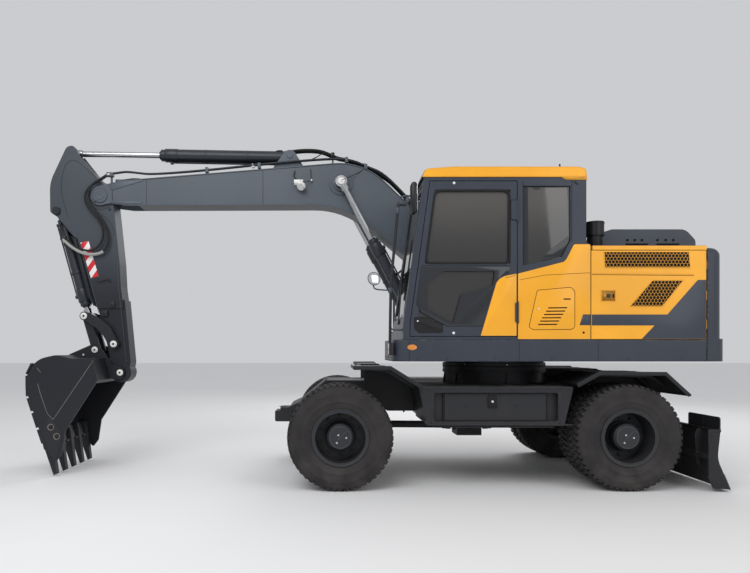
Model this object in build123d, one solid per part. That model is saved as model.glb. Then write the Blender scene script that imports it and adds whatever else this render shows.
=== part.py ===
"""Wheeled excavator: a two-axle road-going digger with a one-piece boom, a backhoe bucket and a rear blade.

Millimetres. +X is forward (towards the bucket), +Y is the driver's left, +Z is up.
The origin is on the ground, under the slewing axis.
"""
from build123d import *
import os

os.makedirs("parts", exist_ok=True)

# ---- driving dimensions -------------------------------------------------------------------------
HALF_WIDTH = 1250.0          # outer tyre faces
FRONT_AXLE_X = 1790.0
REAR_AXLE_X = -1010.0
TYRE_RADIUS = 520.0
TYRE_WIDTH = 240.0
TWIN_PITCH = 310.0           # between the two tyres of a twin wheel
AXLE_Z = TYRE_RADIUS
FRAME_TOP = 1015.0
TURRET_TOP = 1130.0
BLADE_POCKET = (250.0, 340.0)  # slots for the push arms, from the middle plane
BLADE_CYLINDER_Y = 170.0
KINGPIN_Y = 600.0
FRAME_HALF = 380.0           # chassis frame, half width
SPINDLE_RADIUS = 60.0
HITCH_NOSE_X = 2516.0        # front face of the towing hitch
HITCH_HALF = 130.0
TOW_PIN_X = 2415.0
RUNNING_FIT = 0.05           # radial clearance of a pin or journal in its bore
DECK_BOTTOM = 1262.0
DECK_TOP = 1472.0
HOUSE_HALF = 1245.0          # upper house, half width
HOUSE_TOP = 2380.0
TAIL_RADIUS = 2270.0
BAY_REAR_X = -1745.0         # back of the decks and the engine bay
BOOM_Y = -60.0               # middle plane of the boom, arm and bucket
BOOM_HALF = 150.0
ARM_HALF = 124.0
ARM_NOSE_HALF = 110.0
CYLINDER_GROOVE = 68.0       # half width of the groove beside the bucket cylinder
CAB_INNER_Y = 270.0
CAB_TOP = 3040.0
CAB_FRONT_BASE_X = 1185.0
CAB_FRONT_TOP_X = 984.0
WALL = 45.0                  # cab walls and doors

# pivots of the digging gear, (x, z)
BOOM_FOOT = (90.0, 1910.0)
BOOM_CYLINDER_FOOT = (790.0, 1450.0)
BOOM_CYLINDER_HEAD = (1762.0, 3280.0)
ARM_PIVOT = (4522.0, 3141.0)
ARM_CYLINDER_FOOT = (2351.0, 3616.0)
ARM_CYLINDER_HEAD = (4870.0, 3662.0)
BUCKET_CYLINDER_FOOT = (5030.0, 2969.0)
LEVER_PIVOT = (4358.0, 1442.0)
LEVER_TIP = (4697.0, 1762.0)
LINK_END = (4583.0, 1376.0)
BUCKET_PIVOT = (4295.0, 1115.0)
BLADE_PIVOT = (-1330.0, 700.0)
BLADE_CYLINDER_FOOT = (-1450.0, 905.0)
BLADE_CYLINDER_HEAD = (-1790.0, 560.0)


# ---- building blocks ----------------------------------------------------------------------------
def outline(points):
    """A closed face in the X-Y sketch plane from (x, y) or (x, y, corner radius) rows."""
    corners = [(row[0], row[1]) for row in points]
    radii = [row[2] if len(row) > 2 else 0 for row in points]
    if any(radii):
        return make_face(FilletPolyline(*corners, radius=radii, close=True))
    return make_face(Polyline(*corners, close=True))


def slab_of(face, y_low, y_high):
    """A side-view face, spread from y_low to y_high."""
    plane = Plane(origin=(0, y_high, 0), x_dir=(1, 0, 0), z_dir=(0, -1, 0))
    return extrude(plane * face, amount=y_high - y_low, dir=(0, -1, 0))


def slab(points, y_low, y_high):
    """A side-view outline, spread from y_low to y_high."""
    return slab_of(outline(points), y_low, y_high)


def plan(points, z_low, z_high):
    """A plan-view outline, spread from z_low to z_high."""
    return extrude(Pos(0, 0, z_low) * outline(points), amount=z_high - z_low, dir=(0, 0, 1))


def block(x_low, x_high, y_low, y_high, z_low, z_high):
    centre = Pos((x_low + x_high) / 2, (y_low + y_high) / 2, (z_low + z_high) / 2)
    return centre * Box(x_high - x_low, y_high - y_low, z_high - z_low)


def bar(start, end, radius):
    """A round bar between two points."""
    along = Vector(*end) - Vector(*start)
    return Solid.make_cylinder(radius, along.length, Plane(origin=start, z_dir=along))


def cross_pin(pivot, y_low, y_high, radius):
    """A round pin or boss along Y at a side-view pivot (x, z)."""
    return bar((pivot[0], y_low, pivot[1]), (pivot[0], y_high, pivot[1]), radius)


def post(x, y, z_low, z_high, radius):
    return bar((x, y, z_low), (x, y, z_high), radius)


def turned(profile, x, z):
    """Turns a (radius, y) profile about the Y direction through (x, z)."""
    return Pos(x, 0, z) * revolve(outline(profile), Axis.Y)


def rail(points, radius):
    """A bent tube: straight bars with a ball at each bend."""
    solid = bar(points[0], points[1], radius)
    for start, end in zip(points[1:-1], points[2:]):
        solid += Pos(*start) * Sphere(radius) + bar(start, end, radius)
    return solid


def mirrored(shape):
    """The same piece on the other side of the machine."""
    return mirror(shape, about=Plane.XZ)


def about_boom(y_low, y_high, make):
    """Two like pieces, one each side of the boom's middle plane."""
    return make(BOOM_Y + y_low, BOOM_Y + y_high) + make(BOOM_Y - y_high, BOOM_Y - y_low)


def save(name, *solids):
    shape = solids[0] if len(solids) == 1 else Compound(children=[s for s in solids])
    export_step(shape, f"parts/{name}.step")


# ---- undercarriage ------------------------------------------------------------------------------
def chassis_frame():
    """The welded frame, its turret, the axle saddles and the lugs for the blade."""
    frame = slab([(-1400, 640), (-1400, 960, 40), (-560, FRAME_TOP), (1050, FRAME_TOP), (1500, 1040),
                  (1925, 1040, 60), (2198, 815, 60), (2335, 750), (2335, 700, 20), (2110, 722),
                  (1440, 735), (960, 722), (900, 640), (-790, 640), (-812, 722), (-1208, 722),
                  (-1230, 640)], -FRAME_HALF, FRAME_HALF)
    frame += slab([(2100, 725), (2455, 720), (2455, 681), (HITCH_NOSE_X, 681, 10),
                   (HITCH_NOSE_X, 560, 20), (2260, 560)], -HITCH_HALF, HITCH_HALF)
    frame += post(0, 0, FRAME_TOP - 5, TURRET_TOP, 560)
    trunnion = 75 + RUNNING_FIT
    for x in (1500, 2050):
        frame += block(x, x + 30, -140, 140, 420, 740)
        frame -= bar((x - 5, 0, AXLE_Z), (x + 35, 0, AXLE_Z), trunnion)
    for y in (-345, 245):
        frame += block(REAR_AXLE_X - 90, REAR_AXLE_X + 90, y, y + 100, AXLE_Z + 40, 730)
    frame -= bar((REAR_AXLE_X, -400, AXLE_Z), (REAR_AXLE_X, 400, AXLE_Z), 85 + RUNNING_FIT)
    for side in (-1, 1):
        inner, outer = sorted((side * BLADE_POCKET[0], side * BLADE_POCKET[1]))
        frame -= block(-1450, -1250, inner, outer, 560, FRAME_TOP + 20)
        frame += cross_pin(BLADE_PIVOT, inner - 10, outer + 10, 35)
        for near, far in ((115, 133), (207, 225)):
            low, high = sorted((side * near, side * far))
            frame += slab([(-1390, 830), (-1390, 958), (-1450, 955, 40), (-1500, 905, 40),
                           (-1450, 855, 40)], low, high)
        low, high = sorted((side * 115, side * 225))
        frame += cross_pin(BLADE_CYLINDER_FOOT, low, high, 25)
    tow_pin = post(TOW_PIN_X, 0, 500, 800, 25)
    return frame - tow_pin


def slew_bearing():
    return post(0, 0, TURRET_TOP, 1232, 575) - post(0, 0, 1120, 1240, 430 + RUNNING_FIT)


def front_fender(tip):
    """The left mudguard behind the front wheel, with its inner plate. tip is its front edge."""
    top = slab([(tip, 1205), (tip, 1193), (1310, 1191), (1014, 1018), (1002, 1030), (1302, 1205)],
               382, 1240)
    web = slab([(1517, 1198), (1306, 1198), (1010, 1024), (890, 1014), (890, 760), (915, 706),
                (1261, 706), (1400, 800), (1517, 1000)], 382, 394)
    return top + web


def rear_fender():
    """The left mudguard over the rear wheel."""
    top = slab([(-495, 1049), (-715, 1151, 30), (-1361, 1147, 30), (-1590, 949), (-1582, 941),
                (-1357, 1135), (-716, 1138), (-499, 1038)], 382, 1240)
    web = slab([(-510, 1041), (-716, 1142), (-1357, 1139), (-1640, 1085, 40), (-1740, 960, 40),
                (-1740, 885, 20), (-1640, 885), (-1380, 980), (-560, 1020)], 382, 394)
    return top + web


def toolbox():
    """The left tool chest between the wheels; its door closes the recess."""
    chest = slab([(946, 643, 15), (1024, 1008, 10), (-481, 1008, 10), (-391, 634, 15)], 400, 1190)
    recess = slab([(879, 676, 25), (879, 956, 25), (-331, 956, 25), (-331, 676, 25)], 1130, 1195)
    cavity = block(-215, 760, 450, 1140, 700, 930)
    return chest - recess - cavity


TOOLBOX_HINGE = (1163.0, 946.0)      # (y, z) of the door's hinge line


def toolbox_door():
    """Hinged along its upper edge."""
    panel = block(-224, 769, 1137, 1157, 684, 944)
    knuckles = bar((-180, *TOOLBOX_HINGE), (725, *TOOLBOX_HINGE), 5)
    latch = block(240, 310, 1157, 1170, 840, 912)
    return panel + latch + block(-180, 725, 1150, 1163, 940, 949) + knuckles


def axle_housing(x):
    """Axle tube with the bulged differential in the middle."""
    half = [(0, 0), (190, 0), (190, 130), (165, 175), (85, 240), (85, 470), (0, 470)]
    left = turned(half, x, AXLE_Z)
    return left + mirrored(left)


def front_axle():
    """Steering axle: trunnions along X carry it, and a fork at each end holds the kingpin."""
    axle = axle_housing(FRONT_AXLE_X) + bar((1495, 0, AXLE_Z), (2085, 0, AXLE_Z), 75)
    for side in (-1, 1):
        low, high = sorted((side * 430, side * 495))
        tip_low, tip_high = sorted((side * 430, side * 665))
        axle += block(FRONT_AXLE_X - 80, FRONT_AXLE_X + 80, low, high, 350, 690)
        for z in (350, 650):
            axle += block(FRONT_AXLE_X - 80, FRONT_AXLE_X + 80, tip_low, tip_high, z, z + 40)
        axle -= post(FRONT_AXLE_X, side * KINGPIN_Y, 340, 700, 35 + RUNNING_FIT)
    return axle


def rear_axle():
    axle = axle_housing(REAR_AXLE_X)
    left = turned([(0, 470), (85, 470), (85, 640), (140, 660), (140, 728), (SPINDLE_RADIUS, 728),
                   (SPINDLE_RADIUS, 940), (0, 940)], REAR_AXLE_X, AXLE_Z)
    return axle + left + mirrored(left)


TIE_ROD_X = FRONT_AXLE_X - 200
TIE_ROD_Z = 389.0


def knuckle():
    """The left steering knuckle: kingpin, spindle, brake housing and steering arm."""
    body = post(FRONT_AXLE_X, KINGPIN_Y, 396, 644, 95) + post(FRONT_AXLE_X, KINGPIN_Y, 345, 695, 35)
    spindle = turned([(0, KINGPIN_Y), (100, KINGPIN_Y), (120, 690), (120, 728), (SPINDLE_RADIUS, 728),
                      (SPINDLE_RADIUS, 940), (0, 940)], FRONT_AXLE_X, AXLE_Z)
    arm = block(TIE_ROD_X, FRONT_AXLE_X, KINGPIN_Y - 25, KINGPIN_Y + 25, 408, 438)
    arm += post(TIE_ROD_X, KINGPIN_Y, 408, 438, 32) + post(TIE_ROD_X, KINGPIN_Y, 372, 410, 16)
    return body + spindle + arm


def tie_rod():
    rod = bar((TIE_ROD_X, 25 - KINGPIN_Y, TIE_ROD_Z), (TIE_ROD_X, KINGPIN_Y - 25, TIE_ROD_Z), 12)
    rod += post(TIE_ROD_X, KINGPIN_Y, 376, 402, 34) + post(TIE_ROD_X, -KINGPIN_Y, 376, 402, 34)
    rod -= post(TIE_ROD_X, KINGPIN_Y, 370, 408, 16 + RUNNING_FIT)
    return rod - post(TIE_ROD_X, -KINGPIN_Y, 370, 408, 19)


def tyre(y_middle):
    """One tyre: bead, bulged walls, square shoulders and a flat tread."""
    half = TYRE_WIDTH / 2
    wall = [(255, half - 25), (282, half - 25), (330, half - 8), (400, half), (470, half - 6),
            (508, half - 18), (TYRE_RADIUS, half - 36)]
    inner = [(r, y_middle - y) for r, y in wall]
    outer = [(r, y_middle + y) for r, y in reversed(wall)]
    return inner + outer


def twin_rim():
    """Both rims, their dished discs and the hub, turned as one piece."""
    bore = SPINDLE_RADIUS + RUNNING_FIT
    return [(0, 945), (bore, 945), (bore, 735), (150, 735), (150, 965), (244, 965), (244, 714),
            (275, 714), (275, 723), (254, 723), (254, 917), (275, 917), (275, 925), (262, 925),
            (262, 1025), (275, 1025), (275, 1033), (254, 1033), (254, 1227), (275, 1227),
            (275, 1237), (244, 1237), (244, 990), (150, 990), (150, 1040), (132, 1060), (132, 1170),
            (112, 1190), (0, 1190)]


def driveline():
    """Transfer gearbox under the frame and a propeller shaft to each axle."""
    gearbox = block(170, 450, -150, 150, 405, 640)
    front = bar((425, 0, 512), (1494, 0, AXLE_Z), 40)
    rear = bar((175, 0, 512), (REAR_AXLE_X + 191, 0, AXLE_Z), 40)
    return gearbox + front + rear


def blade():
    """Full-width levelling blade: curved mouldboard, end plates, guard plates and two push arms."""
    edge = HALF_WIDTH - 5
    board = slab([(-1975, 28), (-1850, 320, 250), (-1880, 602), (-1852, 602), (-1815, 320, 230),
                  (-1930, 28)], -edge, edge)
    board += block(-1880, -1835, -edge, edge, 590, 602)
    for low in (-edge, edge - 15):
        board += slab([(-1975, 28), (-1850, 320, 250), (-1880, 602), (-1764, 602, 20), (-1764, 140),
                       (-1812, 34)], low, low + 15)
    for side in (-1, 1):
        low, high = sorted((side * 704, side * edge))
        board += fillet(block(-1880, -1868, low, high, 595, 724).edges().filter_by(Axis.X)
                        .sort_by(Axis.Z)[-2:], 25)
        low, high = sorted((side * (BLADE_POCKET[0] + 12), side * (BLADE_POCKET[1] - 12)))
        arm = slab([(-1865, 230), (-1865, 480), (-1700, 640), (-1340, 757), (-1310, 645),
                    (-1500, 560), (-1700, 240)], low, high)
        arm += cross_pin(BLADE_PIVOT, low, high, 58)
        arm -= cross_pin(BLADE_PIVOT, low - 5, high + 5, 35 + RUNNING_FIT)
        board += arm
        for near, far in ((115, 130), (210, 225)):
            low, high = sorted((side * near, side * far))
            lug = slab([(-1858, 500), (-1858, 602), (-1790, 602, 35), (-1745, 560, 30),
                        (-1790, 515, 35)], low, high)
            board += lug - cross_pin(BLADE_CYLINDER_HEAD, low - 5, high + 5, 28)
    return board


# ---- upper house --------------------------------------------------------------------------------
BOOM_WEB_IN, BOOM_WEB_OUT = 160.0, 178.0         # plates that hold the boom's foot
OUTER_LUG_IN, OUTER_LUG_OUT = 268.0, 286.0       # outer lugs of the boom cylinders
RIGHT_DECK_X = 1100.0                            # front of the right deck
EYE_IN, EYE_OUT = 187.0, 259.0                   # boom cylinder eyes


def upper_frame():
    """Slewing platform: side decks, centre plate, the plates that carry the boom, and its pins."""
    left = plan([(1275, 245), (1275, 1245, 140), (BAY_REAR_X, 1245), (BAY_REAR_X, 245)],
                DECK_BOTTOM, DECK_TOP)
    right = plan([(RIGHT_DECK_X, -365), (RIGHT_DECK_X, -1245, 140), (BAY_REAR_X, -1245),
                  (BAY_REAR_X, -365)], DECK_BOTTOM, DECK_TOP)
    frame = left + right + block(BAY_REAR_X, 980, -370, 250, DECK_BOTTOM, DECK_BOTTOM + 40)
    frame += post(0, 0, 1140, DECK_BOTTOM + 5, 430) + post(0, 0, 1238, DECK_BOTTOM + 5, 560)
    web = [(-640, 1290), (-640, 1800), (-60, 2020, 60), (150, 2030, 100), (260, 1850),
           (420, 1560), (850, 1540, 60), (900, 1290)]
    lug = [(640, 1290), (700, 1500, 50), (790, 1545, 80), (880, 1500, 50), (930, 1290)]
    frame += about_boom(BOOM_WEB_IN, BOOM_WEB_OUT, lambda low, high: slab(web, low, high))
    frame += about_boom(OUTER_LUG_IN, OUTER_LUG_OUT, lambda low, high: slab(lug, low, high))
    frame += cross_pin(BOOM_FOOT, BOOM_Y - 205, BOOM_Y + 205, 50)
    frame += about_boom(BOOM_WEB_IN, OUTER_LUG_OUT + 8,
                        lambda low, high: cross_pin(BOOM_CYLINDER_FOOT, low, high, 40))
    return frame


def tail_slab(low, high, radius, corner):
    """A slab across the house's tail: its back is an arc about the slewing axis."""
    tail = post(0, 0, low, high, radius) & block(-2400, BAY_REAR_X - 7, -1245, 1245, low, high)
    return fillet(tail.edges().filter_by(Axis.Z).sort_by(Axis.X)[:2], corner)


def counterweight():
    """Cast tail weight on a foot that stands proud, with a round top rim and two lifting bores."""
    top = HOUSE_TOP - 10
    tail = tail_slab(DECK_BOTTOM, top, TAIL_RADIUS - 25, 130)
    rim = [e for e in tail.edges() if abs(e.center().Z - top) < 1 and e.center().X < BAY_REAR_X - 20]
    tail = fillet(rim, 80)
    tail += tail_slab(DECK_BOTTOM, DECK_TOP + 10, TAIL_RADIUS, 130)
    for y in (-600, 600):
        tail -= post(-1900, y, HOUSE_TOP - 110, HOUSE_TOP, 30)
    return tail


def bay_frame():
    """Engine bay: front wall, and the top plates round the hood's opening."""
    wall = block(-690, -645, -1195, 1195, DECK_TOP, 2340)
    top = block(BAY_REAR_X, -645, -1245, 1245, 2340, HOUSE_TOP)
    top -= block(BAY_REAR_X - 1, -880, -855, 855, 2300, 2400)
    back = block(BAY_REAR_X, BAY_REAR_X + 30, -1195, 1195, DECK_TOP, 2340)
    return wall + top + back


BAY_HINGE = (BAY_REAR_X + 2, 1247.0)                  # (x, y) of the left door's upright hinge line


def engine_door():
    """The left side door of the engine bay, with three knuckles at its rear edge."""
    door = block(BAY_REAR_X + 4, -632, 1201, 1245, DECK_TOP + 6, HOUSE_TOP - 46)
    for middle in (1620, 1900, 2200):
        door += post(*BAY_HINGE, middle - 45, middle + 45, 3)
    return door


def engine_hood():
    """Hollow hood over the engine, with two knuckles at its rear edge."""
    outer = slab([(-842, 2392), (-842, 2560, 70), (-1000, 2612, 120), (-1760, 2612, 120),
                  (-1862, 2500, 60), (-1862, 2392)], -850, 850)
    inner = slab([(-872, 2380), (-872, 2540, 50), (-1005, 2582, 100), (-1745, 2582, 100),
                  (-1832, 2490, 40), (-1832, 2380)], -820, 820)
    hood = outer - inner
    for low in (-600, 480):
        hood += bar((-1870, low, 2400), (-1870, low + 120, 2400), 8)
    return hood


CAB_OUTLINE = [(-625, DECK_TOP + 1), (-625, 2391), (-584, 2410), (-584, CAB_TOP),
               (CAB_FRONT_TOP_X, CAB_TOP), (CAB_FRONT_BASE_X, 1620), (CAB_FRONT_BASE_X, DECK_TOP + 1)]
CAB_INSIDE = [(-580, 1525), (-580, 2391), (-540, 2410), (-540, CAB_TOP + 5),
              (CAB_FRONT_TOP_X - 50, CAB_TOP + 5), (CAB_FRONT_BASE_X - 48, 1620),
              (CAB_FRONT_BASE_X - 48, 1525)]
DOOR_OPENING = [(79, 1500), (79, 3008), (928, 3008), (1120, 1625), (1120, 1500)]
DOOR_UPPER_PANE = [(150, 2205), (150, 2920), (880, 2920), (976, 2205)]
DOOR_LOWER_PANE = [(185, 2165), (345, 1950), (435, 1612), (830, 1612), (1040, 1700), (982, 2165)]
QUARTER_PANE = [(23, 2190), (23, 2957), (-431, 2957), (-431, 2430), (-350, 2270)]
RIGHT_PANE = [(-480, 2100), (-480, 2950), (860, 2950), (980, 2100)]
REAR_PANE = (370.0, 1145.0, 2480.0, 2960.0)          # y_low, y_high, z_low, z_high
FRONT_PANE = (325.0, 1190.0, 1690.0, 2975.0)


DOOR_HINGE = (79.0, 1255.0)                          # (x, y) of the upright hinge line


def shrunk(points, margin):
    return offset(outline(points), amount=-margin, kind=Kind.INTERSECTION)


def cab_shell():
    """Hollow cab with its door opening and window cuts, open at the top where the roof sits."""
    shell = slab(CAB_OUTLINE, CAB_INNER_Y, HOUSE_HALF)
    shell -= slab(CAB_INSIDE, CAB_INNER_Y + WALL, HOUSE_HALF - WALL)
    shell -= slab(DOOR_OPENING, HOUSE_HALF - WALL - 5, HOUSE_HALF + 5)
    shell -= slab(QUARTER_PANE, HOUSE_HALF - WALL - 5, HOUSE_HALF + 5)
    shell -= slab(RIGHT_PANE, CAB_INNER_Y - 5, CAB_INNER_Y + WALL + 5)
    shell -= block(-640, -530, *REAR_PANE)
    return shell - block(900, 1250, *FRONT_PANE)


def cab_glass():
    """Fixed panes: quarter, right, rear and windscreen."""
    quarter = slab_of(shrunk(QUARTER_PANE, 1), HOUSE_HALF - 21, HOUSE_HALF - 15)
    right = slab_of(shrunk(RIGHT_PANE, 1), CAB_INNER_Y + 15, CAB_INNER_Y + 21)
    y_low, y_high, z_low, z_high = REAR_PANE
    rear = block(-568, -562, y_low + 1, y_high - 1, z_low + 1, z_high - 1)
    y_low, y_high, z_low, z_high = FRONT_PANE
    slope = (CAB_FRONT_TOP_X - CAB_FRONT_BASE_X) / (CAB_TOP - 1620)
    low_x = CAB_FRONT_BASE_X + slope * (z_low + 1 - 1620) - 22
    high_x = CAB_FRONT_BASE_X + slope * (z_high - 1 - 1620) - 22
    front = slab([(low_x, z_low + 1), (low_x + 6, z_low + 1), (high_x + 6, z_high - 1),
                  (high_x, z_high - 1)], y_low + 1, y_high - 1)
    return quarter, right, rear, front


def cab_roof():
    return slab([(-586, CAB_TOP + 2), (-582, 3125, 40), (-500, 3142, 300), (700, 3142, 300),
                 (968, 3122, 50), (1002, CAB_TOP + 2)], CAB_INNER_Y - 5, HOUSE_HALF + 5)


def cab_door():
    """The door is as thick as the wall and has two window cuts."""
    door = slab_of(shrunk(DOOR_OPENING, 6), HOUSE_HALF - WALL, HOUSE_HALF)
    for pane in (DOOR_UPPER_PANE, DOOR_LOWER_PANE):
        door -= slab(pane, HOUSE_HALF - WALL - 5, HOUSE_HALF + 5)
    for low, high, leaf in ((1633, 1838, 104), (2622, 2825, 143)):
        door += post(DOOR_HINGE[0], DOOR_HINGE[1], low, high, 8)
        door += block(DOOR_HINGE[0], leaf, 1243, DOOR_HINGE[1], low + 10, high - 10)
    return door


def door_glass():
    panes = [slab_of(shrunk(pane, 1), HOUSE_HALF - 26, HOUSE_HALF - 20)
             for pane in (DOOR_UPPER_PANE, DOOR_LOWER_PANE)]
    return panes


def operator_chair():
    chair = block(-60, 330, 560, 950, 1525, 1760)
    chair += slab([(-120, 1760), (-100, 1860, 40), (420, 1880, 50), (420, 1790, 30), (330, 1760)],
                  510, 1000)
    chair += slab([(-250, 1800), (-60, 1800), (-140, 2560, 40), (-270, 2560, 40)], 520, 990)
    return chair + slab([(-290, 2580, 20), (-300, 2760, 30), (-190, 2760, 30), (-180, 2580, 20)],
                        620, 890) + block(-250, -220, 740, 770, 2540, 2600)


def side_consoles():
    """Arm-rest consoles beside the chair, each with its control lever."""
    pieces = []
    for low in (395, 1020):
        box = slab([(-150, 1525), (-100, 2040, 40), (450, 2060, 40), (380, 1525)], low, low + 95)
        box += bar((400, low + 47, 2040), (425, low + 47, 2200), 14)
        pieces.append(box + Pos(428, low + 47, 2215) * Sphere(30))
    return pieces


def steering_column():
    column = bar((900, 740, 1560), (790, 740, 2130), 45) + block(860, 1010, 640, 840, 1526, 1600)
    ring = Torus(190, 16)
    tilt = Pos(780, 740, 2150) * Rot(0, -28, 0)
    spokes = Box(380, 30, 12) + Box(30, 380, 12) + Cylinder(40, 40)
    return column + tilt * (ring + spokes)


def right_tanks():
    """Fuel and hydraulic tanks behind the step box on the right."""
    fuel = block(-620, -20, -1240, -385, DECK_TOP + 1, 2300)
    oil = block(-10, 420, -1240, -385, DECK_TOP + 1, 2150)
    return fuel, oil


def step_box():
    """Battery and tool box in front of the tanks, with two steps cut in its front."""
    return slab([(430, DECK_TOP + 1), (430, 1960), (700, 1960, 20), (700, 1760), (890, 1760, 20),
                 (890, 1600), (1075, 1600, 30), (1075, DECK_TOP + 1)], -1215, -395)


def precleaner():
    """Air intake bowl with its cap."""
    x, y = -760, 1010
    return (post(x, y, HOUSE_TOP + 1, 2420, 45) + post(x, y, 2405, 2516, 70)
            + post(x, y, 2512, 2652, 90))


def exhaust_pipe():
    x, y = -1180, -1010
    pipe = post(x, y, HOUSE_TOP + 1, 2560, 55) - post(x, y, HOUSE_TOP + 30, 2570, 48)
    return pipe


def left_handrail():
    """The grab rail in front of the cab, with the lamp box at its foot."""
    rail_path = [(1150, 1180, 2790), (1225, 1180, 2790), (1297, 1180, 2005), (1306, 1180, 1440)]
    return rail(rail_path, 14) + block(1280, 1318, 1130, 1220, 1320, 1445)


def right_handrail():
    rail_path = [(1035, -1150, 1601), (1035, -1150, 2350), (800, -1150, 2550), (-300, -1150, 2550),
                 (-300, -1150, 2301)]
    return rail(rail_path, 14)


def left_mirror():
    """Tall mirror ahead of the cab's front pillar, on its tube."""
    head = block(1044, 1104, 1090, 1240, 2700, 3010)
    return head + rail([(1225, 1180, 2808), (1200, 1165, 2880), (1100, 1165, 2880)], 9)


# ---- boom, arm and bucket -----------------------------------------------------------------------
def eye(pivot, y_low, y_high, radius, bore):
    """A plain bearing eye."""
    return cross_pin(pivot, y_low, y_high, radius) - cross_pin(pivot, y_low - 5, y_high + 5, bore)


def towards(start, end, distance):
    """The point at a distance from start on the way to end, side view."""
    span = Vector(end[0] - start[0], end[1] - start[1])
    step = span.normalized() * distance
    return start[0] + step.X, start[1] + step.Y


def in_plane(point, y):
    return point[0], y, point[1]


def barrel(foot, head, y, eye_half, radii, lengths):
    """Cylinder barrel with its foot eye. radii: eye, bore, tube. lengths: tube start, tube end."""
    eye_radius, bore, tube = radii
    start, end = lengths
    body = eye(foot, y - eye_half, y + eye_half, eye_radius, bore)
    neck = bar(in_plane(towards(foot, head, eye_radius * 0.8), y),
               in_plane(towards(foot, head, start + 5), y), tube * 0.7)
    shell = bar(in_plane(towards(foot, head, start), y), in_plane(towards(foot, head, end), y), tube)
    gland = bar(in_plane(towards(foot, head, end - 2), y),
                in_plane(towards(foot, head, end + 45), y), tube * 0.82)
    return body + neck + shell + gland


def bored(shape, foot, head, y, start, end, radius):
    """The barrel with the hole that its rod slides in."""
    return shape - bar(in_plane(towards(foot, head, start), y), in_plane(towards(foot, head, end), y),
                       radius + RUNNING_FIT)


def piston_rod(foot, head, y, eye_half, eye_radius, bore, radius, inner_end):
    """Rod from inside the barrel to the head eye. A bore of 0 gives a closed eye with its pin."""
    rod = bar(in_plane(towards(foot, head, inner_end), y),
              in_plane(towards(head, foot, eye_radius * 0.7), y), radius)
    boss = cross_pin(head, y - eye_half, y + eye_half, eye_radius)
    if bore:
        boss -= cross_pin(head, y - eye_half - 5, y + eye_half + 5, bore)
    collar = bar(in_plane(towards(head, foot, eye_radius + 45), y),
                 in_plane(towards(head, foot, eye_radius * 0.8), y), radius * 1.45)
    return rod + boss + collar


EYE_MIDDLE = (EYE_IN + EYE_OUT) / 2
EYE_HALF = (EYE_OUT - EYE_IN) / 2
BOOM_PIN_SIDES = (BOOM_Y - EYE_MIDDLE, BOOM_Y + EYE_MIDDLE)


def boom():
    """One-piece cranked boom with a forked tip, bosses, and the lugs of the arm cylinder."""
    body = slab([(4530, 3253), (4271, 3314, 120), (1507, 3539, 750), (330, 2402, 300), (0, 1990),
                 (175, 1800), (500, 2005, 300), (1735, 3036, 923), (4225, 3028), (4408, 3052),
                 (4530, 3030)], BOOM_Y - BOOM_HALF, BOOM_Y + BOOM_HALF)
    body += cross_pin(ARM_PIVOT, BOOM_Y - BOOM_HALF, BOOM_Y + BOOM_HALF, 112)
    body -= block(4085, 4700, BOOM_Y - 132, BOOM_Y + 132, 2900, 3450)
    body += cross_pin(BOOM_FOOT, BOOM_Y - BOOM_HALF - 2, BOOM_Y + BOOM_HALF + 2, 116)
    body -= cross_pin(BOOM_FOOT, BOOM_Y - 200, BOOM_Y + 200, 50 + RUNNING_FIT)
    body += cross_pin(ARM_PIVOT, BOOM_Y - BOOM_HALF - 12, BOOM_Y + BOOM_HALF + 12, 45)
    body += cross_pin(BOOM_CYLINDER_HEAD, BOOM_Y - BOOM_HALF - 10, BOOM_Y + BOOM_HALF + 10, 130)
    lug = [(2190, 3480), (2300, 3660, 50), (2351, 3685, 70), (2410, 3660, 50), (2560, 3450),
           (2300, 3440)]
    body += about_boom(84, 108, lambda low, high: slab(lug, low, high))
    return body + cross_pin(ARM_CYLINDER_FOOT, BOOM_Y - 118, BOOM_Y + 118, 35)


def boom_barrels():
    barrels = []
    for y in BOOM_PIN_SIDES:
        shape = barrel(BOOM_CYLINDER_FOOT, BOOM_CYLINDER_HEAD, y, EYE_HALF, (68, 40 + RUNNING_FIT, 62),
                       (110, 1240))
        barrels.append(bored(shape, BOOM_CYLINDER_FOOT, BOOM_CYLINDER_HEAD, y, 100, 1300, 34))
    return barrels


def boom_rods():
    return [piston_rod(BOOM_CYLINDER_FOOT, BOOM_CYLINDER_HEAD, y, EYE_HALF - 2, 66, 0, 34, 755)
            for y in BOOM_PIN_SIDES]


def arm_barrel():
    shape = barrel(ARM_CYLINDER_FOOT, ARM_CYLINDER_HEAD, BOOM_Y, 52, (62, 35 + RUNNING_FIT, 73),
                   (90, 1440))
    return bored(shape, ARM_CYLINDER_FOOT, ARM_CYLINDER_HEAD, BOOM_Y, 130, 1500, 33)


def arm_rod():
    return piston_rod(ARM_CYLINDER_FOOT, ARM_CYLINDER_HEAD, BOOM_Y, 44, 56, 30, 33, 1300)


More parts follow.
